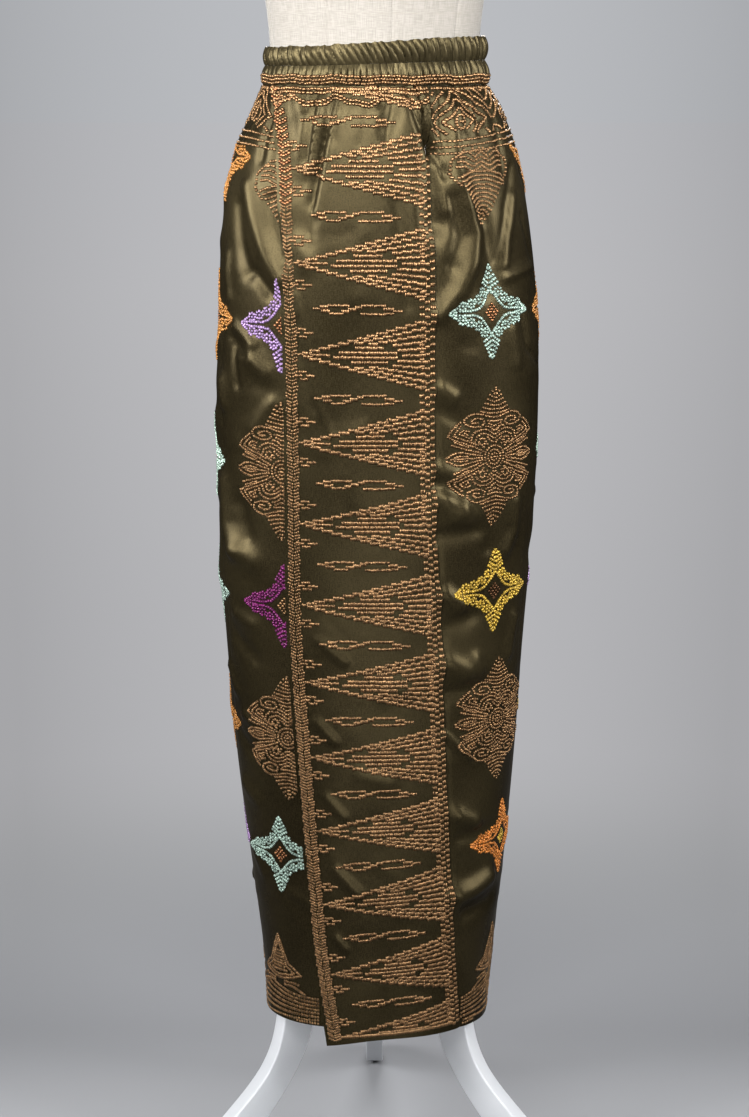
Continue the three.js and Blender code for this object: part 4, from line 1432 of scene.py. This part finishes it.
def makeForm():
    goreTurn = 360 / form["gores"]

    def place(u, v):
        gore = u * form["gores"]
        share = gore - np.floor(gore)
        eased = 0.5 - 0.5 * np.cos(math.pi * share)  # columns crowd towards the seams
        azimuth = form["firstSeam"] + goreTurn * (np.floor(gore) + eased)
        z = between(formSections["z"][0], formSections["z"][-1], v)
        rim = rimRadius(formSections, azimuth, z)
        fromSeam = np.minimum(eased, 1 - eased) * math.radians(goreTurn) * rim
        groove = form["grooveDepth"] * np.exp(-(fromSeam / form["grooveWidth"]) ** 2)
        cloth = np.stack([np.radians(azimuth) * form["clothRadius"], z], axis=-1)
        return aroundAxis(azimuth, rim - groove, z), cloth

    piece = gridOf("form_cover", form["gores"] * form["goreColumns"], form["rows"], place)
    editMesh(piece, mergeSeam, lambda: bpy.ops.mesh.fill_holes(sides=0), turnOutwards)
    smoothShade(piece, "form")
    giveFinish(piece, "linen", "form_torso")


makeForm()


# A turned piece on the pole's axis: a circle drawn up through radii and heights, in millimetres.
def turnedPiece(name, outline, segments=72):
    deselectAll()
    radius, z = outline[0]
    bpy.ops.mesh.primitive_circle_add(
        vertices=segments, radius=radius * millimetre, fill_type="NGON",
        location=(axisX, axisY, z * millimetre),
    )
    piece = nameIt(name)
    bpy.ops.object.transform_apply(location=True, rotation=True, scale=True)
    bpy.ops.object.mode_set(mode="EDIT")
    for nextRadius, nextZ in outline[1:]:
        move = {"value": (0, 0, (nextZ - z) * millimetre)}
        bpy.ops.mesh.extrude_region_move(TRANSFORM_OT_translate=move)
        share = nextRadius / radius
        bpy.ops.transform.resize(value=(share, share, 1), center_override=(axisX, axisY, nextZ * millimetre))
        radius, z = nextRadius, nextZ
    turnOutwards()
    bpy.ops.object.mode_set(mode="OBJECT")
    smoothShade(piece, "hard")
    return piece


neckOutline = [  # radius, and height above the foot of the cap
    (52.5, 0), (53.4, 0.6), (54, 2), (54, 7.4), (53.4, 8.8), (51.8, 10.4), (49, 12.2), (43, 14.2), (34, 16),
    (20, 17.4), (6, 18),
]
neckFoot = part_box("neck_cap")[0][2] / millimetre
neckCap = turnedPiece("neck_plate", [(radius, neckFoot + up) for radius, up in neckOutline])
giveFinish(neckCap, "paint", "neck_cap")


# ---- stand ----
stand = {
    "board": 20, "chamfer": 2.4, "hubApothem": 30, "footRest": 5, "edgeSteps": 60, "glideChamfer": 0.8,
}
legAzimuths = {"left": -60, "right": 60, "rear": 180}
legStart = stand["hubApothem"] + skirt["seamGap"]
legOuterEdge = [  # reach from the axis and z, down the side away from the pole
    (legStart, 432), (66, 420), (100, 356), (114, 260), (118, 178), (137, 124), (186, 74), (226, 44),
    (248, 24),
]
legInnerEdge = [
    (208, stand["footRest"]), (176, 34), (139, 70), (101, 122), (82, 170), (78, 240), (70, 310), (52, 352),
    (legStart, 362),
]
legTip = [(250.2, 19), (250, 14), (249, 9.4), (246, stand["footRest"])]


def throughPoints(rows, steps):  # a smooth curve through the rows
    points = np.array([rows[0], *rows, rows[-1]], float)
    curve = []
    for at in np.linspace(0, len(rows) - 1, steps + 1):
        i = min(int(at), len(rows) - 2)
        t = at - i
        a, b, c, d = points[i:i + 4]
        curve.append(0.5 * (2 * b + (c - a) * t + (2 * a - 5 * b + 4 * c - d) * t**2
                            + (3 * b - a - 3 * c + d) * t**3))
    return curve


def makeLeg(side, azimuth):
    outline = np.array([*throughPoints(legOuterEdge, stand["edgeSteps"]), *legTip,
                        *throughPoints(legInnerEdge, stand["edgeSteps"])])
    deselectAll()
    bpy.ops.mesh.primitive_circle_add(vertices=len(outline), radius=0.1, fill_type="NGON")
    piece = nameIt(f"leg_board_{side}")
    halfBoard = np.full(len(outline), stand["board"] / 2)
    setPoints(piece, np.stack([outline[:, 0], halfBoard, outline[:, 1]], axis=-1) * millimetre)
    move = {"value": (0, -stand["board"] * millimetre, 0)}
    editMesh(piece, lambda: bpy.ops.mesh.extrude_region_move(TRANSFORM_OT_translate=move), turnOutwards)
    bevelEdges(piece, stand["chamfer"], 40)
    local = getPoints(piece)
    turn = math.radians(azimuth - 90)
    x = local[:, 0] * math.cos(turn) - local[:, 1] * math.sin(turn) + axisX
    y = local[:, 0] * math.sin(turn) + local[:, 1] * math.cos(turn) + axisY
    setPoints(piece, np.stack([x, y, local[:, 2]], axis=-1))
    smoothShade(piece, "hard")
    giveFinish(piece, "paint", f"leg_{side}")


def makeGlide(side):
    low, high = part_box(f"glide_{side}")
    middle = [(a + b) / 2 for a, b in zip(low, high)]
    deselectAll()
    bpy.ops.mesh.primitive_cylinder_add(
        vertices=48, radius=(high[0] - low[0]) / 2, depth=high[2] - low[2], location=middle,
    )
    piece = nameIt(f"glide_pad_{side}")
    bpy.ops.object.transform_apply(location=True, rotation=True, scale=True)
    bevelEdges(piece, stand["glideChamfer"], 60)
    smoothShade(piece, "hard")
    giveFinish(piece, "rubber", f"glide_{side}")


for side, azimuth in legAzimuths.items():
    makeLeg(side, azimuth)
    makeGlide(side)

for node, finish in (("pole", "steel"), ("pole_flange", "steel"), ("hub", "paint")):
    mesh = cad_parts[node].data
    mesh.materials.clear()
    mesh.materials.append(finishes[finish])
print("form and stand made")


# ---- floor and light ----
studio = {
    # the floor paper is painted lighter in front of the stand and a little behind it, a painted pool of light
    "floorSize": 60, "floor": tone(124, 125, 128), "paintedLitNearFloor": tone(148, 149, 152),
    "unseenFloorPaintedDarker": tone(106, 107, 110), "paintedLightReach": 0.28, "fadeFrom": 0.35, "fadeTo": 1.3, "ambient": 0.12,
    "horizon": tone(187, 189, 193), "paintedSideFall": 8.0, "darkest": 0.8, "dropScale": 2.5,
    "backdrop": [  # the backdrop's painted tone by dropScale over the distance from the camera: painted darker near the stand, as its shadow, and lighter far behind
        (0.02, tone(187, 188, 192)), (0.22, tone(190, 190, 193)), (0.50, tone(184, 184, 187)),
        (0.64, tone(183, 183, 186)), (0.78, tone(171, 172, 174)), (0.88, tone(158, 159, 162)),
        (1.0, tone(152, 154, 157)),
    ],
}


def paintedSideFall(finish, across, ahead):  # painted light: the backdrop is painted a little darker to the sides, around a pool of light behind the stand
    side = across / ahead
    return finish.largest(1 - side * side * studio["paintedSideFall"], studio["darkest"])


def makeFloor():
    deselectAll()
    bpy.ops.mesh.primitive_plane_add(size=studio["floorSize"], location=(axisX, axisY, 0))
    floor = nameIt("studio_floor")
    bpy.ops.object.transform_apply(location=True, rotation=True, scale=True)
    finish = Finish("studio_floor")
    place = finish.objectPlace()
    reach = finish.node("ShaderNodeVectorMath", {"operation": "LENGTH"}, {0: place}, output=1)
    fade = finish.ramp(reach, studio["fadeFrom"], studio["fadeTo"])
    seen = finish.node("ShaderNodeLightPath")
    across, behind = finish.part(place, "X"), finish.part(place, "Y")
    ahead = finish.size(behind) + cameraPlace["distance"]
    away = reach + cameraPlace["distance"]
    # painted light and shade: the backdrop's tone by its distance, darker just behind the stand
    drop = finish.node("ShaderNodeMath", {"operation": "DIVIDE"}, {0: studio["dropScale"], 1: away})
    shade = finish.node("ShaderNodeValToRGB", {"stops": studio["backdrop"]}, {0: drop})
    # painted light: the paper's tone is lighter in front of the pole and fades to its plain tone a little
    # behind it
    paintedLightShare = finish.ramp(behind, 0.0, studio["paintedLightReach"])
    paintedLitPaper = finish.mixed(paintedLightShare, studio["paintedLitNearFloor"], studio["floor"])
    # painted shade: rays other than the camera's see the floor darker, so its reflections in the satin and
    # the light it bounces are darker
    paperTone = finish.mixed(seen, studio["unseenFloorPaintedDarker"], paintedLitPaper)
    paper = finish.node("ShaderNodeBsdfDiffuse", None, {"Color": paperTone})
    # painted light: the backdrop's glow is dimmer to the sides
    strength = paintedSideFall(finish, across, ahead)
    # the far floor glows as the backdrop, in its painted tone of light and shadow
    backdrop = finish.node("ShaderNodeEmission", None, {"Color": shade, "Strength": strength})
    shown = finish.node("ShaderNodeMixShader", None, {0: fade * seen, 1: paper, 2: backdrop})
    finish.node("ShaderNodeOutputMaterial", None, {"Surface": shown})
    floor.data.materials.append(finish.material)


def makeWorld():
    finish = Finish("studio", bpy.data.worlds.new("studio"))
    bpy.context.scene.world = finish.material
    place = finish.node("ShaderNodeTexCoord", output="Generated")
    # painted light: the world seen behind is painted darker to the sides
    strength = paintedSideFall(finish, finish.part(place, "X"), finish.size(finish.part(place, "Y")))
    shown = finish.node("ShaderNodeBackground", None, {"Color": studio["horizon"], "Strength": strength})
    dim = (studio["ambient"], studio["ambient"], studio["ambient"], 1)
    felt = finish.node("ShaderNodeBackground", None, {"Color": dim})
    seen = finish.node("ShaderNodeLightPath")
    either = finish.node("ShaderNodeMixShader", None, {0: seen, 1: felt, 2: shown})
    finish.node("ShaderNodeOutputWorld", None, {"Surface": either})


lamps = {  # place and aim in metres from the pole's foot, width, height, watts and spread in degrees
    "key": ((-0.2, -1.4, 1.65), (0, 0, 1.4), 1.2, 0.5, 16, 90),
    "overhead": ((0, -0.9, 3.0), (0, 0, 1.0), 2.0, 1.0, 13, 180),
    "left_box": ((-1.7, -0.85, 1.6), (0, 0, 1.2), 0.9, 0.8, 30, 120),
    "right_box": ((1.7, -0.85, 1.6), (0, 0, 1.2), 0.9, 0.8, 24, 120),
    "low_fill": ((0.1, -1.6, 0.4), (0, 0, 0.2), 1.0, 0.35, 1.4, 60),
    "back_light": ((0.1, 2.4, 2.0), (0, 0, 0.8), 1.4, 0.9, 38, 120),
}


def softLight(name, place, aim, width, height, watts, spread):
    lamp = bpy.data.lights.new(name, "AREA")
    lamp.shape = "RECTANGLE"
    lamp.size, lamp.size_y = width, height
    lamp.energy = watts
    lamp.spread = math.radians(spread)
    holder = bpy.data.objects.new(name, lamp)
    holder.location = (axisX + place[0], axisY + place[1], place[2])
    ahead = np.subtract(aim, place)
    level = math.hypot(ahead[0], ahead[1])
    holder.rotation_euler = (math.atan2(level, -ahead[2]), 0, math.atan2(-ahead[0], ahead[1]))
    bpy.context.scene.collection.objects.link(holder)


makeFloor()
makeWorld()
for name, settings in lamps.items():
    softLight(name, *settings)
bpy.context.scene.view_settings.view_transform = "Standard"
print("studio lit")
